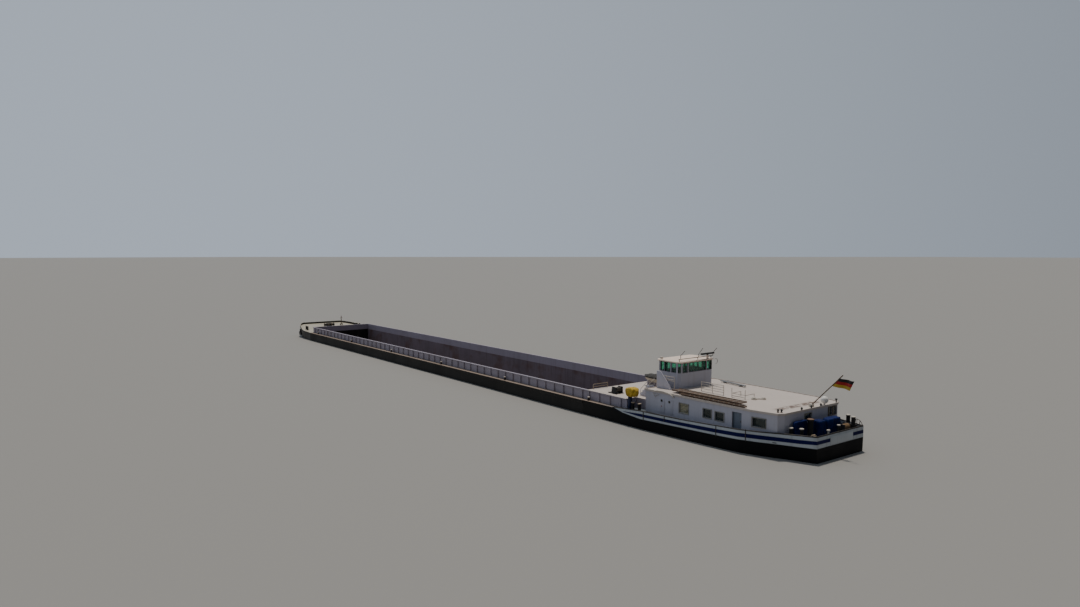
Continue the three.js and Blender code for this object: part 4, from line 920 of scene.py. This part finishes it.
HUB = at(1546, 0, 636)
WHEEL_RADIUS = 0.026
SPOKES = 3
wheel_parts = [ring_bar(HUB, WHEEL_RADIUS, Vector((0, 1, 0)), Vector((0, 0, 1)), 0.0022)]
for index in range(SPOKES):
    turn = 2 * pi * index / SPOKES + 0.5
    wheel_parts.append(bent_bar([HUB, HUB + Vector((0, cos(turn), sin(turn))) * WHEEL_RADIUS], 0.0014))
wheel_parts.append(bent_bar([HUB, at(1566, 0, 628)], 0.003))
settle(joined(wheel_parts), "steering_wheel", varnished)

# Helmsman's chair: a turned steel pedestal bolted to the floor, with bent tubular arms.
# Seat and back are stuffed cushions in dark blue cloth.
chair_cloth = canvas("chair_cloth", (0.02, 0.024, 0.04), crease=0.25, fade_and_highlight=1.6)
PEDESTAL = ((0, 0.021), (0.003, 0.021), (0.006, 0.009), (0.052, 0.0085), (0.054, 0.017), (0.058, 0.017))
pedestal = turned(at(1500, 0, ROOF), PEDESTAL, 20)
arms = []
for side in (1, -1):
    arm = [at(1480, side * 28, 602), at(1480, side * 31, 632), at(1518, side * 31, 632)]
    arms.append(bent_bar(arm, 0.0026, corner=0.006))
back_bar = bent_bar([at(1474, 0, 600), at(1470, 0, 650)], 0.005)
settle(joined([pedestal, back_bar, *arms]), "chair_frame", gear_black,
       stands_for=("helm_chair",))
SIDES_DRAWN_IN = 0.07


def cushion(name, low, high, crown):
    """A stuffed cushion: a block cut finely, its faces crowned, its sides drawn in between the corners."""
    centre = (low + high) / 2
    half = (high - low) / 2
    thin = min(range(3), key=lambda axis: half[axis])
    piece = slab(low, high)
    bpy.ops.object.mode_set(mode="EDIT")
    bpy.ops.mesh.select_all(action="SELECT")
    bpy.ops.mesh.subdivide(number_cuts=7)
    bpy.ops.object.mode_set(mode="OBJECT")
    for vertex in piece.data.vertices:
        share = [(vertex.co[axis] - centre[axis]) / half[axis] for axis in range(3)]
        wide = [axis for axis in range(3) if axis != thin]
        bulge = (1 - share[wide[0]] ** 4) * (1 - share[wide[1]] ** 4)
        for axis, other in (wide, reversed(wide)):
            share[axis] *= 1 - SIDES_DRAWN_IN * (1 - share[other] ** 2) * abs(share[axis])
        share[thin] *= (1 - crown) + crown * bulge
        vertex.co = centre + Vector([share[axis] * half[axis] for axis in range(3)])
    apply_modifier(piece, "SUBSURF", levels=1, render_levels=1)
    settle(piece, name, chair_cloth, angle=70)


cushion("chair_seat", at(1472, -26, 598), at(1530, 26, 616), 0.45)
cushion("chair_back", at(1468, -25, 619), at(1482, 25, 682), 0.4)

# Stair to the wheelhouse with its steel side screen, the guard rails of the roof, and the small
# fittings near them: welded plate and pipe in white, with dark treads.
dome_white = painted("dome_white", (0.86, 0.84, 0.8), dirt=0.15, wear=0.2, roughness=0.35)
# Each fitting: its solid, width of its bevels, paint
ROOF_FITTINGS = (
    ("wheelhouse_stair", 0.003, house_paint),
    ("stair_screen", 0.0015, house_paint),
    ("roof_rail", 0.0, cap_white),
    ("hatch_guard", 0.0, cap_white),
    ("roof_vents", 0.002, cap_white),
    ("dome_aerial", 0.0, dome_white),
)
for source, width, paint in ROOF_FITTINGS:
    softened(source, source + "_rounded", paint, width, angle=50)
softened("radar_scanner", "radar_scanner_rounded", gear_black, 0.003, angle=50)
STAIR_RAIL = {"posts": (1394, 1492, 1590), "levels": (615, 626, 650), "across": 285, "radius": 0.0026}
HANDRAIL_BEND = ((1794, 436), (1794, 492), (1684, 598), (1684, 541))
stair_rails = []
for s in STAIR_RAIL["posts"]:
    ends = [at(s, STAIR_RAIL["across"], level) for level in (ROOF, STAIR_RAIL["levels"][-1])]
    stair_rails.append(bent_bar(ends, 0.0028))
for level in STAIR_RAIL["levels"]:
    ends = [at(s, STAIR_RAIL["across"], level) for s in (STAIR_RAIL["posts"][0], STAIR_RAIL["posts"][-1])]
    stair_rails.append(bent_bar(ends, STAIR_RAIL["radius"]))
for across in (236, 298):
    bends = [at(s, across, level) for s, level in HANDRAIL_BEND]
    stair_rails.append(bent_bar(bends, STAIR_RAIL["radius"], corner=0.008))
settle(joined(stair_rails), "stair_rails", cap_white, angle=60)
tread_paint = painted("tread_paint", (0.09, 0.09, 0.09), dirt=0.4, wear=0.8, bare=(0.3, 0.28, 0.26),
                      roughness=0.7)
STEPS = {"count": 4, "foot": 1800, "going": 30, "bottom": 435, "rise": 26.25}
treads = []
for step in range(STEPS["count"]):
    edge = STEPS["foot"] - step * STEPS["going"]
    level = STEPS["bottom"] + (step + 1) * STEPS["rise"]
    treads.append(slab(at(edge - 27, 242, level - 0.6), at(edge - 1, 296, level + 0.8), 0.0005))
settle(joined(treads), "stair_treads", tread_paint)
galvanised = painted("galvanised", (0.33, 0.34, 0.35), dirt=0.3, wear=0.3, bare=(0.2, 0.12, 0.08),
                     roughness=0.42, metallic=0.7, scale=2.0)
softened("aerial_rail", "aerial_rail_round", gear_black, angle=50)
softened("roof_pipes", "roof_pipes_round", galvanised, angle=50)

# Raised deck between the house and the hold: a welded box, white on top and coaming grey on its
# sides. A tan guard hoop of bent pipe stands at the edge of the hold.


def raised_colour(tree):
    """Warm white where it faces up, coaming grey on its sides."""
    facing_up = calc(tree, "GREATER_THAN", upward(tree), FACES_UP)
    return blend(tree, facing_up, rgba(COAMING_PAINT), rgba(ROOF_WHITE))


raised_paint = painted("raised_paint", raised_colour, dirt=0.25, dirt_colour=(0.27, 0.23, 0.19), wear=0.7,
                       bare=(0.3, 0.22, 0.16), roughness=0.55, welds=(0.4, 0.35, 0.5), shine=0.3)
hoop_tan = painted("hoop_tan", (0.42, 0.33, 0.23), dirt=0.3, wear=0.6, roughness=0.5, scale=2.0)
coat(raised_paint, "raised_deck")
softened("hold_guard", "hold_guard_round", hoop_tan, angle=50)

# Deck machinery: winches, capstan, bollards and anchors in worn black paint. Posts have pale
# caps, the capstan a brown top, and rope or wire is wound on the drums.
# Each piece of gear: its solid and the width of its bevels
MACHINERY = (
    ("coupling_winch_port", 0.0015),
    ("coupling_winch_starboard", 0.0015),
    ("capstan", 0.0015),
    ("aft_winch", 0.0015),
    ("bollards_notch_port", 0.0012),
    ("bollards_notch_starboard", 0.0012),
    ("bollards_aft_port", 0.0012),
    ("bollards_aft_starboard", 0.0012),
    ("windlass", 0.0015),
    ("anchor_port", 0.002),
    ("anchor_starboard", 0.002),
)
for source, width in MACHINERY:
    softened(source, source + "_rounded", gear_black, width)
# Each cap: station, distance to port, height and radius
CAPS = (
    (216, 304, 434, 0.0169),
    (150, 268, 434, 0.0169),
    (118, -288, 472, 0.0173),
    (54, -252, 472, 0.0173),
    (9900, 480, 420, 0.0176),
    (9990, 470, 420, 0.0176),
    (9900, -480, 420, 0.0176),
    (9990, -470, 420, 0.0176),
)
SMALL_POST = at(61, -67, DECK)
SMALL_POST_SHAPE = ((0, 0.017), (0.004, 0.017), (0.006, 0.0105), (0.087, 0.0105))
SMALL_POST_CAP = ((0.087, 0.0115), (0.088, 0.0128), (0.094, 0.0128), (0.095, 0.009))
caps = [turned(at(s, y, z), ((0, size), (0.0055, size), (0.0072, size * 0.88), (0.0078, size * 0.3)), 20)
        for s, y, z, size in CAPS]
caps.append(turned(SMALL_POST, SMALL_POST_CAP, 16))
settle(joined(caps), "post_caps", cap_white)
NOTCH_CAP = ((0, 0.0176), (0.0055, 0.0176), (0.0072, 0.0155), (0.0078, 0.005))
notch_caps = [turned(at(s, y, 407), NOTCH_CAP, 20) for s in (1610, 1690) for y in (490, -490)]
settle(joined(notch_caps), "notch_post_caps", hoop_tan)
settle(turned(SMALL_POST, SMALL_POST_SHAPE, 16), "aft_deck_post", gear_black)
rust_brown = painted("rust_brown", (0.2, 0.11, 0.07), dirt=0.4, wear=0.5, bare=(0.35, 0.22, 0.14),
                     roughness=0.65, scale=4.0)
CAPSTAN_TOP = ((0, 0.0255), (0.002, 0.0258), (0.004, 0.023), (0.0045, 0.004))
settle(turned(at(168, 132, 487), CAPSTAN_TOP, 24), "capstan_top", rust_brown)


def drum_turns(centre, half_length, core, strand, paint, name):
    """Rope wound on a drum: one ridge for each turn, side by side."""
    crest = core + strand * 0.42
    profile = [(-half_length, core)]
    for index in range(round(half_length * 2 / strand)):
        start = -half_length + index * strand
        profile += [(start + strand * 0.25, crest), (start + strand * 0.75, crest)]
        profile.append((start + strand, core + 0.0001))
    settle(turned(centre, profile, 24, "Y"), name, paint, angle=25)


rope_tan = painted("rope_tan", (0.32, 0.2, 0.1), dirt=0.3, wear=0.0, roughness=0.85, scale=8.0)
wire_grey = painted("wire_grey", (0.1, 0.09, 0.08), dirt=0.5, wear=0.0, roughness=0.5, metallic=0.6,
                    scale=8.0)
drum_turns(at(70, -169, 408), 0.032, 0.0212, 0.0064, rope_tan, "aft_winch_rope")
drum_turns(at(1990, 400, 469), 0.032, 0.0222, 0.0032, wire_grey, "coupling_wire_port")
drum_turns(at(1990, -400, 469), 0.032, 0.0222, 0.0032, wire_grey, "coupling_wire_starboard")
crane_blue = painted("crane_blue", (0.012, 0.024, 0.08), dirt=0.35, wear=0.7, roughness=0.4, scale=2.0,
                     shine=0.3)
softened("crane_post", "crane_post_round", crane_blue, 0.001)

# After deck fittings: a fairlead with two rollers at the port corner, a squat vent, and the bent
# guard rail over the starboard quarter, with its uprights.
ROLLER = ((0, 0.008), (0.002, 0.008), (0.003, 0.0062), (0.006, 0.0062), (0.008, 0.008))
fairlead = [slab(at(45, 239, 400), at(71, 279, 404), 0.001)]
for across in (249, 269):
    fairlead.append(turned(at(58, across, 403), ROLLER, 18))
settle(joined(fairlead), "corner_fairlead", hoop_tan)
FAIRLEAD_POST = ((0, 0.02), (0.004, 0.02), (0.008, 0.012), (0.056, 0.012))
fairlead_post = turned(at(58, 259, DECK), FAIRLEAD_POST, 18)
VENT = ((0, 0.013), (0.003, 0.013), (0.005, 0.008), (0.048, 0.008), (0.05, 0.014), (0.057, 0.014),
        (0.06, 0.01))
settle(turned(at(99, 5, DECK), VENT, 16), "deck_vent", cap_white)
QUARTER_BEND = (at(86, -332, 406), at(80, -330, 446), at(67, -325, 447), at(39, -320, 441), at(6, -306, 408))
quarter_rail = [
    bent_bar(QUARTER_BEND, 0.0024, corner=0.006),
    bent_bar([at(67, -325, 446), at(67, -323, 406)], 0.002),
    bent_bar([at(39, -320, 440), at(39, -311, 407)], 0.002),
]
settle(joined([fairlead_post, *quarter_rail]), "quarter_rail", rail_black, angle=60)

# Canvas covers over the gear on the after deck: one sheet each, laid on and hanging to the deck,
# with its corners folded in. The cloth is blue, paler on the crests of its creases: partly faded, partly
# painted highlight.
SHOULDER = 0.009
TOP_SUNK = 0.0015
TOP_REACH = 0.95
TOP_WRINKLE = 0.0012


def draped(low, high, hem, folds, waves, sag, gather=0.0, taper=None, roundness=0.14):
    """Where each point of a cover lies: the middle on top, the margins down the sides in folds."""
    centre = (low + high) / 2
    half = (high - low) / 2
    drop_height = high.z - SHOULDER - hem
    top_share = (half.x + half.y) / (half.x + half.y + 2 * drop_height)

    def place(a, b):
        ring = max(abs(a), abs(b), 0.000001)
        p = a / ring
        q = b / ring
        rounding = 1 - roundness * abs(p * q) ** 5
        turn = atan2(q * half.y, p * half.x)
        if ring <= top_share:
            share = ring / top_share
            reach = TOP_REACH * share
            wrinkle = TOP_WRINKLE * sin(9 * a / top_share + 1.0) * sin(7 * b / top_share) * (1 - share ** 4)
            level = high.z - TOP_SUNK - (SHOULDER - TOP_SUNK) * share ** 7
            level += wrinkle - sag * (1 - share ** 2) ** 2
            swing = 0.0
        else:
            drop = (ring - top_share) / (1 - top_share)
            reach = TOP_REACH + (1 - TOP_REACH) * min(1.0, drop * 7) - gather * drop ** 2
            level = high.z - SHOULDER - drop * drop_height
            wave = sin(waves[0] * turn + 1.3) + 0.6 * sin(waves[1] * turn + 0.4 + 2 * drop)
            swing = folds * wave * min(1.0, drop * 2.5)
        x = centre.x + p * rounding * (half.x * reach + swing)
        y = centre.y + q * rounding * (half.y * reach + swing)
        if taper:
            narrow, short = taper(x)
            y = centre.y + (y - centre.y) * narrow
            level = hem + (level - hem) * short
        return Vector((x, y, level))
    return place


blue_canvas = canvas("blue_canvas", (0.0015, 0.008, 0.06), sheen=0.0, fade_and_highlight=2.4, shine=0.15)
# Each row: name, low and high corner, flat size, depth of the folds, waves round the sides, sag on top
COVERS = (
    ("port", at(206, 106, DECK), at(236, 266, 478), (0.31, 0.44), 0.0016, (11, 17), 0.004),
    ("middle", at(136, -32, DECK), at(212, 52, 470), (0.35, 0.35), 0.0034, (7, 12), 0.009),
    ("starboard", at(124, -214, DECK), at(194, -44, 474), (0.34, 0.44), 0.0018, (11, 17), 0.005),
)
COVER_HEM = 0.347
for name, low, high, flat, folds, waves, sag in COVERS:
    cloth(f"cover_{name}", blue_canvas, (44, 44), draped(low, high, COVER_HEM, folds, waves, sag=sag),
          stands_for=(f"deck_cover_{name}",))

# Deck crane folded under a yellow cover that is drawn in round its post. The post's head
# carries the folded jib, and both turn on the pin.
yellow_canvas = canvas("yellow_canvas", (0.4, 0.26, 0.02), crease=0.9)
CRANE = at(1728, 490, 459)
CRANE_HALF = ((1630, 22), (1655, 42), (1700, 50), (1745, 46), (1774, 24))
CRANE_TOP = ((1630, 520), (1655, 540), (1700, 546), (1745, 538), (1774, 512))
HEAD_SHAPE = ((-0.0035, 0.012), (0.0, 0.012), (0.001, 0.024), (0.008, 0.024), (0.012, 0.015), (0.04, 0.014))
crane_parts = [
    turned(CRANE, HEAD_SHAPE, 20),
    slab(at(1640, 478, 494), at(1744, 502, 512), 0.002),
    slab(at(1650, 482, 474), at(1720, 498, 488), 0.002),
]
settle(joined(crane_parts), "crane_jib", crane_blue, body="crane_head")


def crane_taper(x):
    """How much narrower and lower the cover is at a place along the crane."""
    along = max(CRANE_HALF[0][0], min(CRANE_HALF[-1][0], (x - AFT) * 1000))
    narrow = along_table(CRANE_HALF, along) / 50
    short = (along_table(CRANE_TOP, along) - 462) / 84
    return narrow, short


cloth("crane_cover", yellow_canvas, (44, 40),
      draped(at(1634, 442, 459), at(1770, 538, 545), 0.463, 0.0032, (9, 14), gather=0.34, sag=-0.002,
             taper=crane_taper, roundness=0.24),
      body="crane_head",
      stands_for=("crane_head",))

# Ship's boat: a cream plastic hull that rests on two chocks.
# A dark cloth cover is stretched over it and laced down below the gunwale.
BOAT = {"aft": 1829, "length": 328, "across": -120, "gunwale": 534, "half": 68, "crown": 24, "skirt": 11}
BOAT_HALF = ((1830, 52), (1890, 66), (2010, 68), (2090, 54), (2135, 28), (2158, 7))
cream_paint = painted("cream_paint", (0.52, 0.46, 0.36), dirt=0.3, wear=0.5, roughness=0.4, scale=2.0)
softened("boat_hull", "boat_hull_rounded", cream_paint, 0.002)
boat_cloth = canvas("boat_cloth", (0.02, 0.018, 0.016), crease=0.5, fade_and_highlight=2.2)


def boat_place(a, b):
    """Where each point of the boat's cover lies: crowned over the middle, laced down below the gunwale."""
    along = BOAT["aft"] + (a + 1) / 2 * BOAT["length"]
    half = along_table(BOAT_HALF, max(BOAT_HALF[0][0], along)) + 1.5
    across = b * 1.2
    crown = BOAT["crown"] * half / BOAT["half"] * (1 - abs(min(1, max(-1, across))) ** 2.2)
    sag = 2.5 * sin(a * 4.5 * pi) * (1 - b * b)
    if abs(across) <= 1:
        return at(along, BOAT["across"] + across * half, BOAT["gunwale"] + crown + sag)
    skirt = (abs(across) - 1) / 0.2
    hem = 1.2 * sin(a * 19 * pi)
    side = 1 if across > 0 else -1
    reach = half + 0.6 * hem * skirt
    return at(along, BOAT["across"] + side * reach, BOAT["gunwale"] - skirt * (BOAT["skirt"] + hem))


cloth("boat_cover_laced", boat_cloth, (56, 26), boat_place,
      stands_for=("boat_cover",))

# Gangplanks on the port side of the roof: long boards in frames, laid on bearers.
# Pale battens are nailed across them against slipping.
PLANK_DARK = (0.06, 0.04, 0.032)
PLANK_PALE = (0.2, 0.13, 0.085)


def board_colour(tree):
    """Weathered boards with grain along the ship."""
    grain = stretched_noise(tree, spot_on(tree)[0], (3.0, 120.0, 120.0), 1.0, 8.0)
    return blend(tree, ramp(tree, grain, 0.35, 0.65), rgba(PLANK_DARK), rgba(PLANK_PALE))


board_wood = painted("board_wood", board_colour, dirt=0.3, wear=0.4, bare=(0.4, 0.24, 0.12), roughness=0.7,
                     shine=0.3)
for source in ("gangplank_outer", "gangplank_inner", "flagstaff", "bow_mast"):
    softened(source, source + "_rounded", board_wood, 0.001, angle=45)
staff_shoe = slab(at(275, -73, ROOF), at(307, -47, 560.6), 0.0015)
settle(staff_shoe, "staff_shoe", cap_white)
# Each gangplank: after and fore end, starboard and port edge, height, distance between battens
PLANKS = ((540, 1206, 398, 431, 554, 50), (625, 1330, 290, 386, 563, 57))
BATTEN = {"first": 12, "width": 7, "rise": 2.4, "inset": 4, "edge": 0.0006}
batten_paint = painted("batten_paint", (0.36, 0.33, 0.29), dirt=0.4, wear=0.5, roughness=0.55, scale=3.0)
batten_rows = []
for s0, s1, y0, y1, level, pitch in PLANKS:
    count = int((s1 - s0 - 20) / pitch)
    start = s0 + BATTEN["first"]
    row = slab(at(start, y0 + BATTEN["inset"], level - 0.5),
               at(start + BATTEN["width"], y1 - BATTEN["inset"], level + BATTEN["rise"]), BATTEN["edge"])
    apply_modifier(row, "ARRAY", count=count, use_relative_offset=False, use_constant_offset=True,
                   constant_offset_displace=(pitch / 1000, 0, 0))
    batten_rows.append(row)
settle(joined(batten_rows), "gangplank_battens", batten_paint)

# Flag: a sheet of bunting in black, red and gold bands, sewn edge to edge.
# It streams aft from its raked wooden staff in shallow waves.
FLAG = {
    "hoist_top": at(56, -60, 790), "hoist_low": at(119, -60, 724),
    "fly_top": at(-61, -60, 785), "fly_low": at(-30, -60, 712),
}
FLAG_WAVE = {"count": 1.25, "lean": 0.18, "across": 0.011, "up": 0.0015, "sag": 0.004}
FLAG_GOLD = (0.55, 0.36, 0.03)
FLAG_RED = (0.42, 0.012, 0.012)
FLAG_BLACK = (0.01, 0.01, 0.011)
THREAD_SHADE = (0.03, 0.025, 0.02)
bunting = canvas("bunting", (0.2, 0.02, 0.02), crease=0.3)
flag_tree = bunting.node_tree
flag_up = node(flag_tree, "SeparateXYZ", {0: node(flag_tree, "TexCoord", {}).outputs["UV"]}).outputs[1]
flag_shade = rgba(FLAG_GOLD)
for share, colour in ((1 / 3, FLAG_RED), (2 / 3, FLAG_BLACK)):
    flag_shade = blend(flag_tree, calc(flag_tree, "GREATER_THAN", flag_up, share), flag_shade, rgba(colour))
thread = node(flag_tree, "TexNoise", {0: spot_on(flag_tree)[0], "Scale": 300.0, "Detail": 3.0}).outputs[0]
flag_shade = blend(flag_tree, ramp(flag_tree, thread, 0.3, 0.8, 0.0, 0.35), flag_shade, rgba(THREAD_SHADE))
flag_tree.links.new(flag_shade, flag_tree.nodes["Principled BSDF"].inputs["Base Color"])


def flag_place(a, b):
    """Where each point of the flag lies, in waves that grow towards the fly."""
    out = (a + 1) / 2
    up = (b + 1) / 2
    top = FLAG["hoist_top"].lerp(FLAG["fly_top"], out)
    low = FLAG["hoist_low"].lerp(FLAG["fly_low"], out)
    point = low.lerp(top, up)
    wave = sin(2 * pi * (FLAG_WAVE["count"] * out + FLAG_WAVE["lean"] * up))
    point.y += FLAG_WAVE["across"] * wave * out ** 0.6
    point.z -= FLAG_WAVE["sag"] * out * (1 - out) + FLAG_WAVE["up"] * wave * out
    return point


cloth("flag_bunting", bunting, (40, 24), flag_place,
      stands_for=("flag",), thick=0.0006)

# Foredeck gear: the brake wheels of the anchor windlass, bent from bar with two spokes, and the
# lid of the fore hatch, a flat cream plate with a grip.
BRAKE = {"s": 10084, "across": 30, "level": 420, "radius": 16}
brakes = []
for side in (1, -1):
    across = side * BRAKE["across"]
    hub = at(BRAKE["s"], across, BRAKE["level"])
    ends = [at(BRAKE["s"], across + reach, BRAKE["level"]) for reach in (-BRAKE["radius"], BRAKE["radius"])]
    brakes.append(ring_bar(hub, BRAKE["radius"] / 1000, Vector((0, 1, 0)), Vector((0, 0, 1)), 0.0018, 16))
    brakes.append(bent_bar([at(BRAKE["s"] + 4, across, BRAKE["level"]), hub], 0.0022))
    brakes.append(bent_bar(ends, 0.0012))
settle(joined(brakes), "windlass_brakes", hoop_tan)
coat(cream_paint, "fore_hatch_lid")
GRIP_BEND = ((-14, 388), (-14, 396), (14, 396), (14, 388))
grip = bent_bar([at(9730, *bend) for bend in GRIP_BEND], 0.0016, corner=0.003)
settle(grip, "hatch_lid_grip", gear_black, body="fore_hatch_lid")

# Propellers: four-bladed bronze castings, each blade twisted and cambered, on a tapered boss.
# The two are handed: they turn outwards, away from each other.
SHAFT = {"half": 200, "height": 90, "s": 420}
BLADES = 4
BLADE_CHORD = ((12, 9), (26, 21), (46, 26), (62, 20), (70, 11), (74, 3))
BLADE_PITCH = 0.15
BLADE_ROOT = 0.012
BLADE_SPAN = 0.062
BLADE_CAMBER = 0.0022
BLADE_THICKNESS = 0.0022
BOSS = ((-0.027, 0.003), (-0.025, 0.009), (-0.018, 0.0135), (0.0, 0.0152), (0.0315, 0.0152))
bronze = painted("bronze", (0.5, 0.34, 0.14), dirt=0.3, dirt_colour=(0.1, 0.14, 0.1), wear=0.5,
                 bare=(0.7, 0.5, 0.25), roughness=0.3, metallic=1.0, scale=4.0)


def blade(centre, turn, hand):
    """One blade: a grid set to the pitch of a screw at each radius, thickened and smoothed."""
    bpy.ops.object.select_all(action="DESELECT")
    bpy.ops.mesh.primitive_grid_add(x_subdivisions=9, y_subdivisions=6, size=2.0)
    piece = bpy.context.object
    for vertex in piece.data.vertices:
        radius = BLADE_ROOT + (vertex.co.x + 1) / 2 * BLADE_SPAN
        chord = along_table(BLADE_CHORD, radius * 1000) / 1000
        angle = atan2(BLADE_PITCH, 2 * pi * radius)
        reach = vertex.co.y * chord
        camber = BLADE_CAMBER * (1 - vertex.co.y ** 2)
        ahead = reach * sin(angle) + camber * cos(angle)
        around = hand * (reach * cos(angle) - camber * sin(angle)) / radius
        vertex.co = Vector((ahead, radius * sin(around), radius * cos(around)))
    piece.data.update()
    apply_modifier(piece, "SOLIDIFY", thickness=BLADE_THICKNESS, offset=0.0)
    apply_modifier(piece, "SUBSURF", levels=1, render_levels=1)
    piece.data.transform(Matrix.Translation(centre) @ Matrix.Rotation(turn, 4, "X"))
    outward(piece)
    return piece


for side, name in ((1, "port"), (-1, "starboard")):
    centre = at(SHAFT["s"], side * SHAFT["half"], SHAFT["height"])
    casting = [turned(centre, BOSS, 24, "X")]
    casting += [blade(centre, 2 * pi * index / BLADES, side) for index in range(BLADES)]
    settle(joined(casting), f"propeller_{name}_cast", bronze, body=f"propeller_{name}",
           angle=50, stands_for=(f"propeller_{name}",))

# Rudders and main engines: flat steel blades in the hull's black paint, and cast blocks in green
# enamel on the engine-room floor.
engine_green = painted("engine_green", (0.06, 0.14, 0.08), dirt=0.4, wear=0.6, roughness=0.4)
coat(stern_paint, "rudder_port", "rudder_starboard")
coat(engine_green, "engine_port", "engine_starboard")

# Floor at the waterline, pale and plain, open inside the hull so that the hold stays clear of it.
# The light is a soft sky, brighter ahead of the bow, and a warm key from high on the far side.
WATERLINE = 0.215
FLOOR_SIZE = 400.0
FLOOR_COLOUR = (0.295, 0.288, 0.274)
OPENING = {"aft": at(700, 0, 0).x, "fore": at(9700, 0, 0).x, "half": 0.5}
CUTS = (((OPENING["aft"], 0, 0), (1, 0, 0)), ((OPENING["fore"], 0, 0), (1, 0, 0)),
        ((0, OPENING["half"], 0), (0, 1, 0)), ((0, -OPENING["half"], 0), (0, 1, 0)))
bpy.ops.object.select_all(action="DESELECT")
bpy.ops.mesh.primitive_plane_add(size=FLOOR_SIZE, location=(0.0, 0.0, WATERLINE))
floor = bpy.context.object
floor.name = "floor"
bpy.ops.object.mode_set(mode="EDIT")
for place, direction in CUTS:
    bpy.ops.mesh.select_all(action="SELECT")
    bpy.ops.mesh.bisect(plane_co=place, plane_no=direction)
bpy.ops.mesh.select_all(action="DESELECT")
bpy.ops.object.mode_set(mode="OBJECT")
for face in floor.data.polygons:
    face.select = abs(face.center.y) < OPENING["half"] and OPENING["aft"] < face.center.x < OPENING["fore"]
bpy.ops.object.mode_set(mode="EDIT")
bpy.ops.mesh.select_mode(type="FACE")
bpy.ops.mesh.delete(type="FACE")
bpy.ops.object.mode_set(mode="OBJECT")
floor_paint = bpy.data.materials.new("floor_paint")
floor_paint.use_nodes = True
floor_shader = floor_paint.node_tree.nodes["Principled BSDF"]
floor_shader.inputs["Base Color"].default_value = rgba(FLOOR_COLOUR)
floor_shader.inputs["Roughness"].default_value = 0.85
floor.data.materials.append(floor_paint)

SKY = {"colour": (0.74, 0.84, 0.98), "strength": 0.32, "more_ahead": 0.27}
world = bpy.data.worlds.new("studio")
bpy.context.scene.world = world
world.use_nodes = True
sky = world.node_tree
background = sky.nodes["Background"]
background.inputs["Color"].default_value = rgba(SKY["colour"])
ahead = node(sky, "SeparateXYZ", {0: node(sky, "TexCoord", {}).outputs["Generated"]}).outputs[0]
strength = calc(sky, "MULTIPLY_ADD", ahead, SKY["more_ahead"], SKY["strength"])
sky.links.new(strength, background.inputs["Strength"])

KEY = {"energy": 2.32, "colour": (1.0, 0.93, 0.83), "angle": radians(4), "shines": Vector((-0.22, 0.2, -1.0))}
sun_data = bpy.data.lights.new("key", "SUN")
sun_data.energy = KEY["energy"]
sun_data.color = KEY["colour"]
sun_data.angle = KEY["angle"]
sun = bpy.data.objects.new("key", sun_data)
sun.rotation_euler = KEY["shines"].to_track_quat("-Z", "Y").to_euler()
bpy.context.scene.collection.objects.link(sun)
